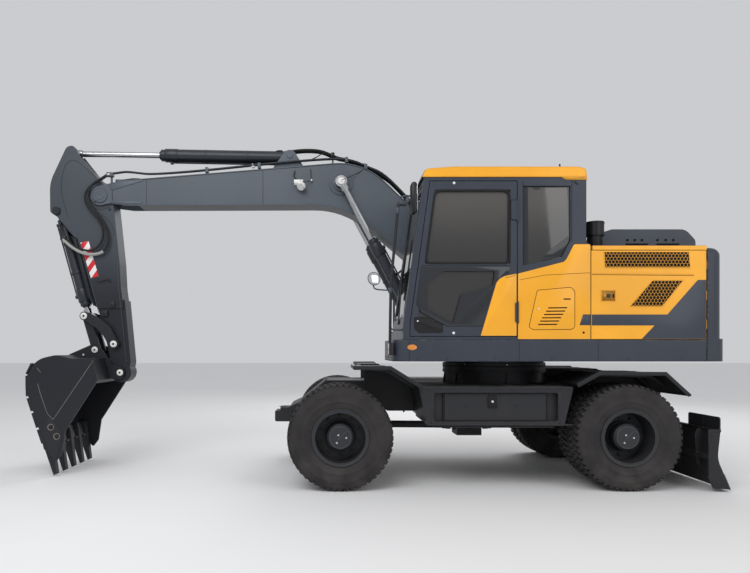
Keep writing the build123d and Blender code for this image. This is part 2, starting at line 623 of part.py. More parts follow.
def arm():
    """Digging arm: deep at the boom pivot, slim at the bucket, open on top for the rod's eye, and
    grooved in front for the bucket cylinder."""
    upper = slab([(4790, 3640), (4838, 3730, 50), (4918, 3706, 70), (5108, 3300, 420), (5104, 2956, 40),
                  (5026, 2905, 30), (4815, 2659, 150), (4640, 2000, 60), (4560, 1850), (4262, 1850),
                  (4294, 2100, 300), (4308, 2377, 300), (4376, 3028, 60), (4400, 3180, 90),
                  (4556, 3340, 60)],
                 BOOM_Y - ARM_HALF, BOOM_Y + ARM_HALF)
    nose = slab([(4560, 1850), (4525, 1728, 150), (4378, 1120), (4205, 1120), (4184, 1235, 60),
                 (4252, 1950), (4450, 1950)], BOOM_Y - ARM_NOSE_HALF, BOOM_Y + ARM_NOSE_HALF)
    body = upper + nose
    body += cross_pin(BUCKET_PIVOT, BOOM_Y - ARM_NOSE_HALF, BOOM_Y + ARM_NOSE_HALF, 116)
    body -= cross_pin(BUCKET_PIVOT, BOOM_Y - 200, BOOM_Y + 200, 38 + RUNNING_FIT)
    body -= cross_pin(ARM_PIVOT, BOOM_Y - 200, BOOM_Y + 200, 45 + RUNNING_FIT)
    body -= block(4500, 5200, BOOM_Y - 58, BOOM_Y + 58, 3430, 3800)
    body -= block(4870, 5200, BOOM_Y - CYLINDER_GROOVE, BOOM_Y + CYLINDER_GROOVE, 2650, 3110)
    body -= slab([(4900, 2700), (4779, 2659), (4560, 1850), (4720, 1850)],
                 BOOM_Y - CYLINDER_GROOVE, BOOM_Y + CYLINDER_GROOVE)
    body += cross_pin(BUCKET_CYLINDER_FOOT, BOOM_Y - ARM_HALF - 8, BOOM_Y + ARM_HALF + 8, 32)
    body += cross_pin(LEVER_PIVOT, BOOM_Y - 182, BOOM_Y + 182, 35)
    body += cross_pin(LEVER_PIVOT, BOOM_Y - 147, BOOM_Y + 147, 58)
    return body


def bucket_barrel():
    shape = barrel(BUCKET_CYLINDER_FOOT, LEVER_TIP, BOOM_Y, 50, (56, 32 + RUNNING_FIT, 62), (85, 1040))
    return bored(shape, BUCKET_CYLINDER_FOOT, LEVER_TIP, BOOM_Y, 100, 1100, 30)


def bucket_rod():
    return piston_rod(BUCKET_CYLINDER_FOOT, LEVER_TIP, BOOM_Y, 40, 50, 28, 30, 200)


LEVER_OUTLINE = [(4700, 1811), (4640, 1795, 80), (4507, 1728, 200), (4395, 1630, 200), (4305, 1450),
                 (4375, 1390), (4425, 1440, 60), (4480, 1540, 150), (4560, 1625, 120), (4690, 1713)]


def tilt_levers():
    """The two levers outside the arm; the pin at their tip joins them."""
    levers = []
    for low in (BOOM_Y - 174, BOOM_Y + 154):
        lever = slab(LEVER_OUTLINE, low, low + 20)
        lever += cross_pin(LEVER_PIVOT, low, low + 20, 55) + cross_pin(LEVER_TIP, low, low + 20, 50)
        levers.append(lever - cross_pin(LEVER_PIVOT, low - 5, low + 25, 35 + RUNNING_FIT))
    pins = about_boom(62, 180, lambda low, high: cross_pin(LEVER_TIP, low, high, 26))
    return [lever + pin for lever, pin in zip(levers, sorted(pins.solids(), key=lambda s: s.center().Y))]


def hull_plate(start, start_radius, end, end_radius, y_low, y_high):
    """A plate with two round ends."""
    along = Vector(end[0] - start[0], end[1] - start[1]).normalized()
    across = Vector(-along.Y, along.X)
    corners = [(start[0] + across.X * start_radius, start[1] + across.Y * start_radius),
               (end[0] + across.X * end_radius, end[1] + across.Y * end_radius),
               (end[0] - across.X * end_radius, end[1] - across.Y * end_radius),
               (start[0] - across.X * start_radius, start[1] - across.Y * start_radius)]
    plate = slab(corners, y_low, y_high)
    return (plate + cross_pin(start, y_low, y_high, start_radius)
            + cross_pin(end, y_low, y_high, end_radius))


def bucket_link():
    """H-shaped link from the levers' tip to the bucket's ears."""
    bore = 26 + RUNNING_FIT
    middle = towards(LINK_END, LEVER_TIP, 150)
    link = about_boom(62, 106, lambda low, high: hull_plate(LINK_END, 48, LEVER_TIP, 46, low, high))
    link += slab([(middle[0] - 35, middle[1] - 60), (middle[0] - 5, middle[1] + 50),
                  (middle[0] + 30, middle[1] + 40), (middle[0] + 5, middle[1] - 70)],
                 BOOM_Y - 100, BOOM_Y + 100)
    link -= cross_pin(LEVER_TIP, BOOM_Y - 150, BOOM_Y + 150, bore)
    return link - cross_pin(LINK_END, BOOM_Y - 150, BOOM_Y + 150, bore)


BUCKET_HALF = 560.0
BUCKET_WRAP = [(4465, 1279), (4700, 1282, 200), (4845, 1322, 180), (5066, 1272, 230),
               (5201, 1036, 220), (5140, 828, 300), (5030, 500), (4975, 300), (4935, 330),
               (4405, 1045)]


def bucket():
    """Backhoe bucket: curved shell, side plates with cutters, ears and five teeth."""
    side_plate = outline([(4465, 1279), (4700, 1282, 200), (4845, 1322, 180), (5066, 1272, 230),
                          (5201, 1036, 220), (5140, 828, 300), (5030, 500), (4975, 300),
                          (4855, 165, 15), (4790, 250, 40), (4753, 500), (4405, 1045)])
    wrap = outline(BUCKET_WRAP)
    hollow = offset(wrap, amount=-28, kind=Kind.INTERSECTION)
    hollow += outline([(4420, 1000), (4480, 1060), (4960, 360), (4935, 329), (4800, 300), (4600, 600)])
    shell = slab_of(wrap, BOOM_Y - BUCKET_HALF, BOOM_Y + BUCKET_HALF)
    shell -= slab_of(hollow, BOOM_Y - BUCKET_HALF - 5, BOOM_Y + BUCKET_HALF + 5)
    shell += about_boom(BUCKET_HALF - 25, BUCKET_HALF, lambda low, high: slab_of(side_plate, low, high))
    ear = [(4880, 1290), (4880, 1322), (4630, 1432, 50), (4535, 1420, 50), (4450, 1300, 60),
           (4385, 1192, 60), (4292, 1196, 75), (4215, 1115, 75), (4292, 1034, 75), (4405, 1046),
           (4470, 1270)]
    shell += about_boom(118, 146, lambda low, high: slab(ear, low, high))
    shell += cross_pin(BUCKET_PIVOT, BOOM_Y - 150, BOOM_Y + 150, 38)
    shell += about_boom(118, 150, lambda low, high: cross_pin(LINK_END, low, high, 30))
    tooth = [(5035, 470), (4925, 440), (4893, 300), (4860, 26), (4894, 12), (4988, 290)]
    for number in range(5):
        middle = BOOM_Y + 245 * (number - 2)
        shell += slab(tooth, middle - 34, middle + 34)
    return shell


def work_lamps():
    """Lamp on the boom's left side and its bracket."""
    lamp = block(2145, 2255, BOOM_Y + BOOM_HALF, BOOM_Y + BOOM_HALF + 12, 3235, 3345)
    lamp += bar((2200, BOOM_Y + BOOM_HALF + 10, 3300), (2200, BOOM_Y + BOOM_HALF + 60, 3300), 20)
    lamp += bar((2150, BOOM_Y + BOOM_HALF + 100, 3300), (2260, BOOM_Y + BOOM_HALF + 100, 3300), 60)
    return lamp + block(2170, 2230, BOOM_Y + BOOM_HALF + 40, BOOM_Y + BOOM_HALF + 80, 3270, 3330)


# ---- write every piece --------------------------------------------------------------------------
def write_undercarriage():
    save("chassis_frame", chassis_frame())
    save("slew_bearing", slew_bearing())
    save("front_fenders", front_fender(1660), mirrored(front_fender(1575)))
    save("rear_fenders", rear_fender(), mirrored(rear_fender()))
    for side in ("left", "right"):
        place = (lambda shape: shape) if side == "left" else mirrored
        save(f"{side}_toolbox", place(toolbox()))
        save(f"{side}_toolbox_door", place(toolbox_door()))
        save(f"{side}_knuckle", place(knuckle()))
        for end, x in (("front", FRONT_AXLE_X), ("rear", REAR_AXLE_X)):
            outer = HALF_WIDTH - TYRE_WIDTH / 2
            tyres = [place(turned(tyre(y), x, AXLE_Z)) for y in (outer, outer - TWIN_PITCH)]
            save(f"{end}_{side}_tyres", *tyres)
            save(f"{end}_{side}_rims", place(turned(twin_rim(), x, AXLE_Z)))
    save("front_axle", front_axle())
    save("rear_axle", rear_axle())
    save("tie_rod", tie_rod())
    save("driveline", driveline())
    save("blade", blade())
    sides = (-BLADE_CYLINDER_Y, BLADE_CYLINDER_Y)
    save("blade_barrels", *[blade_barrel(y) for y in sides])
    save("blade_rods", *[blade_rod(y) for y in sides])


def blade_barrel(y):
    shape = barrel(BLADE_CYLINDER_FOOT, BLADE_CYLINDER_HEAD, y, 32, (42, 25 + RUNNING_FIT, 36),
                   (55, 250))
    return bored(shape, BLADE_CYLINDER_FOOT, BLADE_CYLINDER_HEAD, y, 75, 310, 18)


def blade_rod(y):
    rod = piston_rod(BLADE_CYLINDER_FOOT, BLADE_CYLINDER_HEAD, y, 34, 34, 0, 18, 190)
    return rod + cross_pin(BLADE_CYLINDER_HEAD, y - 60, y + 60, 18)


def write_house():
    save("upper_frame", upper_frame())
    save("counterweight", counterweight())
    save("bay_frame", bay_frame())
    save("left_engine_door", engine_door())
    save("right_engine_door", mirrored(engine_door()))
    save("engine_hood", engine_hood())
    save("engine_block", block(-1500, -900, -480, 480, DECK_TOP + 30, 2260))
    save("cab_shell", cab_shell())
    save("cab_roof", cab_roof())
    save("cab_glass", *cab_glass())
    save("cab_door", cab_door())
    save("cab_door_glass", *door_glass())
    save("operator_chair", operator_chair())
    save("side_consoles", *side_consoles())
    save("steering_column", steering_column())
    save("right_tanks", *right_tanks())
    save("step_box", step_box())
    save("precleaner", precleaner())
    save("exhaust_pipe", exhaust_pipe())
    save("left_handrail", left_handrail())
    save("right_handrail", right_handrail())
    save("left_mirror", left_mirror())


def write_digging_gear():
    save("boom", boom())
    save("boom_lamp", work_lamps())
    save("boom_barrels", *boom_barrels())
    save("boom_rods", *boom_rods())
    save("arm", arm())
    save("arm_barrel", arm_barrel())
    save("arm_rod", arm_rod())
    save("bucket_barrel", bucket_barrel())
    save("bucket_rod", bucket_rod())
    save("tilt_levers", *tilt_levers())
    save("bucket_link", bucket_link())
    save("bucket", bucket())


write_undercarriage()
write_house()
write_digging_gear()
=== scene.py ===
"""A wheeled excavator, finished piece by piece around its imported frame.

Metres. +X is forward, +Y is the driver's left, +Z is up. The origin is on the ground under the slewing axis.
"""
import math

import bpy
from mathutils import Matrix, Vector


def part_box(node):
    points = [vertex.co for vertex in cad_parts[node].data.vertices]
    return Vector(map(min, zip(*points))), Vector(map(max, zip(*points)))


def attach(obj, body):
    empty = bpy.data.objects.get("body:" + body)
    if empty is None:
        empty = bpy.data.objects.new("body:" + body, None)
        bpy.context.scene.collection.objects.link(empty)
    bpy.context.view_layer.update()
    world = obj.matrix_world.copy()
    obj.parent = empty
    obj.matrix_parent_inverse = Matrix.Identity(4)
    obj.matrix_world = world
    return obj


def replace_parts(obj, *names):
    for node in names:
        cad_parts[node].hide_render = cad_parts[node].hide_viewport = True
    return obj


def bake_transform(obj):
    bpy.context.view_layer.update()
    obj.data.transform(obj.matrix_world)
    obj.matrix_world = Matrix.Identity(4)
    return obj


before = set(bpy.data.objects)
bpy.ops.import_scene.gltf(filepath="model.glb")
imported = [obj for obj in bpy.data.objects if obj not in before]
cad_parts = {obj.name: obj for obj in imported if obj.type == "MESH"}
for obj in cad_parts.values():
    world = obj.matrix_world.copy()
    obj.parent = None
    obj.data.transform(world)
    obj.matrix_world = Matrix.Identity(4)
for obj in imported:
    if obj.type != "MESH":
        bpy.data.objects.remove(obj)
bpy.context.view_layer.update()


# ---- studio -------------------------------------------------------------------------------------
# A pale floor under even, soft light, and a level camera on the machine's left, a little ahead of
# the slewing axis. Its shift frames the machine and keeps uprights upright.
CAMERA_PLACE = (1.890, 7.450, 1.373)
FRAME_WIDTH = 750
FOCAL_LENGTH = 643 * 36.0 / FRAME_WIDTH


def deselect():
    bpy.ops.object.select_all(action="DESELECT")


deselect()
bpy.ops.object.camera_add(location=CAMERA_PLACE, rotation=(math.pi / 2, 0, math.pi))
camera = bpy.context.object
camera.name = "studio_camera"
camera.data.lens = FOCAL_LENGTH
camera.data.shift_x = 45 / FRAME_WIDTH
camera.data.shift_y = 63.5 / FRAME_WIDTH
bpy.context.scene.camera = camera


def soft_light(name, place, aim, size, power):
    """A square area light that faces a point."""
    bpy.ops.object.light_add(type="AREA", location=place)
    light = bpy.context.object
    light.name = name
    light.data.size = size
    light.data.energy = power
    light.rotation_euler = (Vector(aim) - Vector(place)).to_track_quat("-Z", "Y").to_euler()


soft_light("key_light", (4.5, 7.5, 8.0), (0.8, 0, 1.5), 6.0, 450)
soft_light("fill_light", (-5.5, 8.0, 5.0), (0, 0, 1.5), 6.0, 170)
soft_light("back_light", (-2.0, -8.0, 7.0), (0.8, 0, 1.5), 6.0, 300)

world = bpy.data.worlds.new("studio_air")
world.use_nodes = True
world.node_tree.nodes["Background"].inputs["Color"].default_value = (0.96, 0.97, 1.0, 1)
world.node_tree.nodes["Background"].inputs["Strength"].default_value = 0.62
bpy.context.scene.world = world
bpy.context.scene.view_settings.view_transform = "Standard"


# ---- paint --------------------------------------------------------------------------------------
# Shop-sprayed enamel over steel plate. It has a fine orange peel, sheet that is never quite flat,
# dust that settles on what faces up and near the ground, painted shade on what faces down, and rubbed edges.
class Wire:
    """An output of a shader node. Sums written on it add Math nodes."""

    def __init__(self, finish, socket):
        self.finish = finish
        self.socket = socket

    def sum(self, operation, *values):
        return self.finish.node("ShaderNodeMath", {"operation": operation}, dict(enumerate(values)))

    def __add__(self, other):
        return self.sum("ADD", self, other)

    def __radd__(self, other):
        return self.sum("ADD", other, self)

    def __sub__(self, other):
        return self.sum("SUBTRACT", self, other)

    def __rsub__(self, other):
        return self.sum("SUBTRACT", other, self)

    def __mul__(self, other):
        return self.sum("MULTIPLY", self, other)

    def __rmul__(self, other):
        return self.sum("MULTIPLY", other, self)

    def __gt__(self, other):
        return self.sum("GREATER_THAN", self, other)

    def __lt__(self, other):
        return self.sum("LESS_THAN", self, other)

    def __mod__(self, other):
        return self.sum("FLOORED_MODULO", self, other)


class Finish:
    """One procedural material. Its patterns stand still on the piece, in the machine's frame."""

    def __init__(self, name):
        self.material = bpy.data.materials.new(name)
        self.material.use_nodes = True
        self.tree = self.material.node_tree
        self.shader = self.tree.nodes["Principled BSDF"]
        self.place = self.node("ShaderNodeTexCoord", output="Object")

    def node(self, kind, settings=None, sockets=None, output=0):
        """A node: its settings are set first, then its sockets get their values or links."""
        made = self.tree.nodes.new(kind)
        for key, value in (settings or {}).items():
            if key == "stops":
                for stop, (position, shade) in zip(made.color_ramp.elements, value):
                    stop.position = position
                    stop.color = (shade, shade, shade, 1)
            else:
                setattr(made, key, value)
        for key, value in (sockets or {}).items():
            if isinstance(value, Wire):
                self.tree.links.new(value.socket, made.inputs[key])
            else:
                made.inputs[key].default_value = value
        return Wire(self, made.outputs[output])

    def axes(self):
        """The place's x, y and z."""
        return [self.node("ShaderNodeSeparateXYZ", sockets={0: self.place}, output=n) for n in range(3)]

    def noise(self, scale, detail=3.0, stretch=(1, 1, 1)):
        """Cloudy noise of that many waves to the metre, drawn out along an axis by a small stretch."""
        place = self.node("ShaderNodeMapping", sockets={"Vector": self.place, "Scale": stretch})
        return self.node("ShaderNodeTexNoise", sockets={"Vector": place, "Scale": scale, "Detail": detail})

    def step(self, value, low, high):
        """0 below low, 1 above high, and smooth between."""
        return self.node("ShaderNodeMapRange", {"interpolation_type": "SMOOTHSTEP"},
                         {"Value": value, "From Min": low, "From Max": high})

    def mix(self, factor, a, b):
        """Colour a, turning to colour b as the factor goes to 1."""
        a, b = [c if isinstance(c, Wire) else (*c, 1) for c in (a, b)]
        return self.node("ShaderNodeMix", {"data_type": "RGBA"}, {0: factor, 6: a, 7: b}, output=2)

    def facing_up(self):
        normal = self.node("ShaderNodeNewGeometry", output="Normal")
        return self.node("ShaderNodeSeparateXYZ", sockets={0: normal}, output=2)

    def bump(self, height, depth, normal=None):
        sockets = {"Height": height, "Distance": depth, "Strength": 1.0}
        if normal is not None:
            sockets["Normal"] = normal
        return self.node("ShaderNodeBump", sockets=sockets)

    def set(self, **sockets):
        """Values or links for the shader's own sockets."""
        for key, value in sockets.items():
            socket = self.shader.inputs[key.replace("_", " ")]
            if isinstance(value, Wire):
                self.tree.links.new(value.socket, socket)
            else:
                socket.default_value = value
        return self.material


DUST = (0.22, 0.20, 0.175)
# The near black of painted shade on surfaces that face down.
UNDERSIDE_SHADE = (0.006, 0.007, 0.006)
BARE_STEEL = (0.42, 0.42, 0.43)


def painted(name, colour, roughness=0.36, dust=0.08, worn=0.4, coat=0.08, round_edge=0.004):
    """Enamel in one colour, on steel with slightly rounded edges."""
    finish = Finish(name)
    cloud = finish.noise(1.7, 5.0)
    speck = finish.noise(38.0, 4.0)
    streak = finish.noise(9.0, 4.0, stretch=(1, 1, 0.12))
    shade = finish.mix(finish.step(cloud, 0.3, 0.7), [c * 0.93 for c in colour],
                       [min(1, c * 1.07) for c in colour])
    low_down = 1 - finish.step(finish.axes()[2], 0.15, 1.3)
    lying = finish.step(finish.facing_up(), 0.35, 0.95) * finish.step(cloud, 0.25, 0.75)
    dusty = (lying + low_down * 0.7 + finish.step(streak, 0.55, 0.8) * 0.25) * dust
    shade = finish.mix(dusty * (0.55 + speck * 0.9), shade, DUST)
    # Painted shade: what faces down is darkened towards near black, for the shade under things.
    shade = finish.mix(finish.step(finish.facing_up() * -1, 0.4, 0.95) * 0.85, shade, UNDERSIDE_SHADE)
    rounded = finish.node("ShaderNodeBevel", {"samples": 4}, {"Radius": round_edge})
    true = finish.node("ShaderNodeNewGeometry", output="Normal")
    turn = finish.node("ShaderNodeVectorMath", {"operation": "DOT_PRODUCT"}, {0: rounded, 1: true}, output=1)
    edge = (1 - finish.step(turn, 0.80, 0.985)) * finish.step(speck, 0.52, 0.66) * worn
    shade = finish.mix(edge, shade, BARE_STEEL)
    peel = finish.noise(420.0, 2.0) * 0.00010 + finish.noise(5.0, 2.0) * 0.0016
    rough = (cloud * 0.12 + speck * 0.1 + dusty * 0.6) + (roughness - 0.08)
    return finish.set(Base_Color=shade, Roughness=rough, Metallic=edge * 0.6, Coat_Weight=coat,
                      Coat_Roughness=0.18, Specular_IOR_Level=0.32, Normal=finish.bump(peel, 1.0, rounded))


SLATE = (0.052, 0.064, 0.088)
AMBER = (0.87, 0.39, 0.016)
slate_paint = painted("slate_paint", SLATE, roughness=0.42)
amber_paint = painted("amber_paint", AMBER, roughness=0.34, worn=0.25, coat=0.25)
chassis_paint = painted("chassis_paint", (0.013, 0.014, 0.018), roughness=0.5)


def dress(finish, *nodes):
    """A frame node keeps its shape and takes this finish."""
    for name in nodes:
        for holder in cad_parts[name].material_slots:
            holder.material = finish


dress(slate_paint, *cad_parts)

bpy.ops.mesh.primitive_plane_add(size=120, location=(0, 0, 0))
floor = bpy.context.object
floor.name = "studio_floor"
pale = Finish("pale_floor")
tone = pale.mix(pale.noise(0.6, 3.0), (0.80, 0.80, 0.80), (0.84, 0.84, 0.84))
floor.data.materials.append(pale.set(Base_Color=tone, Roughness=0.9))
deselect()


# ---- tyres --------------------------------------------------------------------------------------
# Two bias-ply tyres of the 10.00-20 size stand side by side at each corner. The carcass is turned
# as one ring with its raised bands, and the tread's bars are cut once and set round it.
def pick(piece):
    deselect()
    piece.select_set(True)
    bpy.context.view_layer.objects.active = piece


def in_edit_mode(piece, *operators):
    """Runs mesh operators, each with its settings, on the whole of a piece."""
    pick(piece)
    bpy.ops.object.mode_set(mode="EDIT")
    bpy.ops.mesh.select_all(action="SELECT")
    for operator, settings in operators:
        operator(**settings)
    bpy.ops.object.mode_set(mode="OBJECT")
    return piece


def drawn(points, place, fill="NGON"):
    """A flat outline: a circle whose corners are moved to the points."""
    deselect()
    bpy.ops.mesh.primitive_circle_add(vertices=len(points), fill_type=fill)
    piece = bpy.context.object
    for corner, point in zip(piece.data.vertices, points):
        corner.co = place(*point)
    return piece


def tidied(piece, near=0.0001):
    """Merges doubled corners and turns every face outwards."""
    return in_edit_mode(piece, (bpy.ops.mesh.remove_doubles, {"threshold": near}),
                        (bpy.ops.mesh.normals_make_consistent, {"inside": False}))


def pulled(piece, shift):
    """Gives a flat outline its thickness."""
    move = {"TRANSFORM_OT_translate": {"value": shift}}
    return tidied(in_edit_mode(piece, (bpy.ops.mesh.extrude_region_move, move)))


def eased(piece, width, segments=2, angle=30):
    """Takes the sharpness off its edges."""
    pick(piece)
    bevel = piece.modifiers.new("ease", "BEVEL")
    bevel.width = width
    bevel.segments = segments
    bevel.limit_method = "ANGLE"
    bevel.angle_limit = math.radians(angle)
    bpy.ops.object.modifier_apply(modifier="ease")
    return piece


def turned(profile, centre, axis, steps=48):
    """Spins a closed (radius, along) profile about an axis through the centre."""
    along = Vector(axis)
    across = Vector((1, 0, 0)) if abs(along.x) < 0.9 else Vector((0, 0, 1))
    across = (across - along * across.dot(along)).normalized()
    middle = Vector(centre)
    piece = drawn(profile, lambda radius, run: middle + across * radius + along * run, "NOTHING")
    turn = {"steps": steps, "angle": 2 * math.pi, "center": centre, "axis": axis}
    return tidied(in_edit_mode(piece, (bpy.ops.mesh.spin, turn)))


def joined(pieces):
    """A list of pieces as one. A single piece comes back as it is."""
    if not isinstance(pieces, list):
        return pieces
    deselect()
    for piece in pieces:
        piece.select_set(True)
    bpy.context.view_layer.objects.active = pieces[0]
    if len(pieces) > 1:
        bpy.ops.object.join()
    return pieces[0]


def copied(piece, move):
    """Another of the same piece, moved by a matrix, with its own mesh."""
    twin = piece.copy()
    twin.data = piece.data.copy()
    bpy.context.scene.collection.objects.link(twin)
    twin.data.transform(move)
    if move.determinant() < 0:
        twin.data.flip_normals()
    return twin


def about(centre, axis, turn):
    """The matrix that turns things about an axis through a centre."""
    there = Matrix.Translation(Vector(centre))
    return there @ Matrix.Rotation(turn, 4, Vector(axis)) @ there.inverted()


def ringed(piece, centre, axis, count):
    """The piece repeated evenly about an axis, as one."""
    return joined([piece] + [copied(piece, about(centre, axis, 2 * math.pi * n / count))
                             for n in range(1, count)])


def fixed(piece, name, body, finish, sharp=35):
    """A modelled piece, or a list of them, gets its name and finish, and rides on its body."""
    piece = joined(piece)
    pick(piece)
    bpy.ops.object.transform_apply(location=True, rotation=True, scale=True)
    bpy.ops.object.shade_smooth_by_angle(angle=math.radians(sharp))
    piece.name = piece.data.name = name
    piece.data.materials.clear()
    piece.data.materials.append(finish)
    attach(piece, body)
    return piece


FORWARD, LEFTWARD, UPWARD = (1, 0, 0), (0, 1, 0), (0, 0, 1)
MIRROR = Matrix.Scale(-1, 4, LEFTWARD)
SIDES = ("left", "right")
WHEELS = [(end, side) for end in ("front", "rear") for side in SIDES]

rubber = Finish("tyre_rubber")
mottle = rubber.noise(6.0, 5.0)
grain = rubber.noise(160.0, 3.0)
scuffed = rubber.mix(rubber.step(mottle, 0.3, 0.7), (0.022, 0.020, 0.021), (0.034, 0.031, 0.032))
ground_dirt = (1 - rubber.step(rubber.axes()[2], 0.0, 0.5)) * rubber.step(mottle, 0.35, 0.7) * 0.15
tyre_rubber = rubber.set(Base_Color=rubber.mix(ground_dirt, scuffed, (0.16, 0.14, 0.115)),
                         Roughness=grain * 0.15 + 0.68, Specular_IOR_Level=0.3,
                         Normal=rubber.bump(grain * 0.0004 + mottle * 0.0008, 1.0))

tyres_low, tyres_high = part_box("front_left_tyres")
AXLE_HEIGHT = (tyres_low.z + tyres_high.z) / 2
SIDEWALL = [(0.256, 0.094), (0.268, 0.101), (0.276, 0.102), (0.281, 0.098), (0.300, 0.103),
            (0.328, 0.111), (0.346, 0.1145), (0.350, 0.1175), (0.356, 0.1175), (0.360, 0.1155),
            (0.392, 0.1185), (0.424, 0.1190), (0.428, 0.1200), (0.436, 0.1200), (0.441, 0.1170),
            (0.466, 0.1165), (0.486, 0.112), (0.500, 0.100)]
SHOULDER_BAR = [(0.062, 0.497), (0.062, 0.518), (0.098, 0.516), (0.107, 0.508), (0.1125, 0.494),
                (0.104, 0.488), (0.095, 0.495)]
CENTRE_BAR = [(0.006, 0.497), (0.006, 0.518), (0.052, 0.518), (0.052, 0.497)]
TREAD_PITCHES = 52


def tread_bar(outline, centre, side, start, length):
    """One bar of the tread at the top of the wheel."""
    bar = drawn(outline, lambda y, r: (centre.x + start, centre.y + side * y, centre.z + r))
    return eased(pulled(bar, (length, 0, 0)), 0.0025, 1)


def tyre(centre):
    loop = SIDEWALL + [(r, -y) for r, y in reversed(SIDEWALL)]
    carcass = turned(loop, centre, LEFTWARD, 72)
    bars = []
    for side, lead in ((1, 0.0), (-1, 0.028)):
        bars.append(tread_bar(SHOULDER_BAR, centre, side, lead - 0.019, 0.038))
        bars.append(tread_bar(CENTRE_BAR, centre, side, lead - 0.034, 0.044))
    return joined([carcass, ringed(joined(bars), centre, LEFTWARD, TREAD_PITCHES)])


TWIN_PITCH = 0.310
HALF_TYRE = 0.120
front_outer = Vector(((tyres_low.x + tyres_high.x) / 2, tyres_high.y - HALF_TYRE, AXLE_HEIGHT))


def to_wheel(end, side):
    """The matrix that takes the front left wheel's pieces to another wheel."""
    low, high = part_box(f"{end}_{side}_tyres")
    shift = Matrix.Translation(((low.x + high.x) / 2 - front_outer.x, 0, 0))
    return MIRROR @ shift if side == "right" else shift


first = tyre(front_outer)
pair = joined([first, copied(first, Matrix.Translation((0, -TWIN_PITCH, 0))
                             @ about(front_outer, LEFTWARD, 0.05))])
for end, side in WHEELS:
    treads = fixed(copied(pair, to_wheel(end, side)), f"{end}_{side}_treads", f"{end}_{side}_wheel",
                   tyre_rubber)
    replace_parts(treads, f"{end}_{side}_tyres")
bpy.data.objects.remove(pair)


# ---- rims and hubs ------------------------------------------------------------------------------
# Split steel rims on a dished disc, bolted to a reduction hub. A lock ring holds the outer bead, ten
# nuts hold the disc, and the hub's cap has three plated plugs.
rim_paint = painted("rim_paint", (0.016, 0.018, 0.023), roughness=0.45)
hub_paint = painted("hub_paint", (0.040, 0.046, 0.056), roughness=0.42, worn=0.3)


def mottled(name, grain, dark, light, rough, depth=0.0, **sockets):
    """One noise leads the colour, the gloss (its swing and its lowest) and the surface of a finish."""
    finish = Finish(name)
    cloud = finish.noise(*grain)
    if depth:
        sockets["Normal"] = finish.bump(cloud, depth)
    return finish.set(Base_Color=finish.mix(cloud, dark, light), Roughness=cloud * rough[0] + rough[1],
                      **sockets)


plated_steel = mottled("plated_steel", (60.0, 4.0), (0.62, 0.62, 0.60), (0.80, 0.80, 0.79), (0.25, 0.22),
                       0.0004, Metallic=0.9)


def hexagon_nut(centre, axis, radius, height):
    """A six-sided nut or bolt head, chamfered, with its stud's end."""
    turn = Vector((0, 0, 1)).rotation_difference(Vector(axis))
    deselect()
    bpy.ops.mesh.primitive_cylinder_add(vertices=6, radius=radius, depth=height)
    nut = eased(bpy.context.object, radius * 0.12, 1)
    bpy.ops.mesh.primitive_cylinder_add(vertices=12, radius=radius * 0.5, depth=height * 1.5,
                                        location=(0, 0, height * 0.2))
    stud = bpy.context.object
    whole = joined([nut, stud])
    pick(whole)
    bpy.ops.object.transform_apply(location=True, rotation=True, scale=True)
    whole.data.transform(Matrix.Translation(Vector(centre) + Vector(axis) * height * 0.5)
                         @ turn.to_matrix().to_4x4())
    return whole


DISC_FACE = 0.990
CAP_FACE = 1.190
HUB_RING = [(0.132, DISC_FACE - 0.003), (0.168, DISC_FACE - 0.003), (0.168, DISC_FACE + 0.014),
            (0.158, DISC_FACE + 0.020), (0.132, DISC_FACE + 0.020)]
LOCK_RING = [(0.252, 1.2270), (0.262, 1.2370), (0.272, 1.2405), (0.280, 1.2385), (0.280, 1.2330),
             (0.262, 1.2265)]
CAP_LIP = [(0.100, CAP_FACE - 0.004), (0.112, CAP_FACE - 0.004), (0.109, CAP_FACE + 0.004),
           (0.100, CAP_FACE + 0.004)]
AXLE_LINE = Vector((front_outer.x, 0, AXLE_HEIGHT))


def on_disc(radius, turn, face):
    return AXLE_LINE + Vector((radius * math.cos(turn), face, radius * math.sin(turn)))


nuts = ringed(hexagon_nut(on_disc(0.195, 0.3, DISC_FACE - 0.001), LEFTWARD, 0.016, 0.020),
              AXLE_LINE, LEFTWARD, 10)
flange_bolts = ringed(hexagon_nut(on_disc(0.148, 0.1, DISC_FACE + 0.018), LEFTWARD, 0.008, 0.008),
                      AXLE_LINE, LEFTWARD, 16)
hub_ring = turned(HUB_RING, AXLE_LINE, LEFTWARD)
cap_lip = turned(CAP_LIP, AXLE_LINE, LEFTWARD)
cap_rib = eased(pulled(drawn([(-0.092, -0.004), (0.092, -0.004), (0.092, 0.004), (-0.092, 0.004)],
                             lambda a, b: AXLE_LINE + Vector((a, CAP_FACE - 0.002, b))), (0, 0.005, 0)),
                0.001)
cap_rib.data.transform(about(AXLE_LINE, LEFTWARD, 0.8))
hub_trim = joined([hub_ring, flange_bolts, cap_lip, cap_rib])
plugs = joined([hexagon_nut(on_disc(radius, turn, CAP_FACE), LEFTWARD, 0.010, 0.006)
                for radius, turn in ((0.058, 3.2), (0.030, 0.9), (0.062, -1.0))])
deselect()
bpy.ops.mesh.primitive_cylinder_add(vertices=12, radius=0.005, depth=0.070, rotation=(math.pi / 2, 0, 0),
                                    location=AXLE_LINE + Vector((0.17, DISC_FACE + 0.03, -0.16)))
valve = eased(bpy.context.object, 0.0015)
studs = joined([nuts, valve, turned(LOCK_RING, AXLE_LINE, LEFTWARD, 72)])
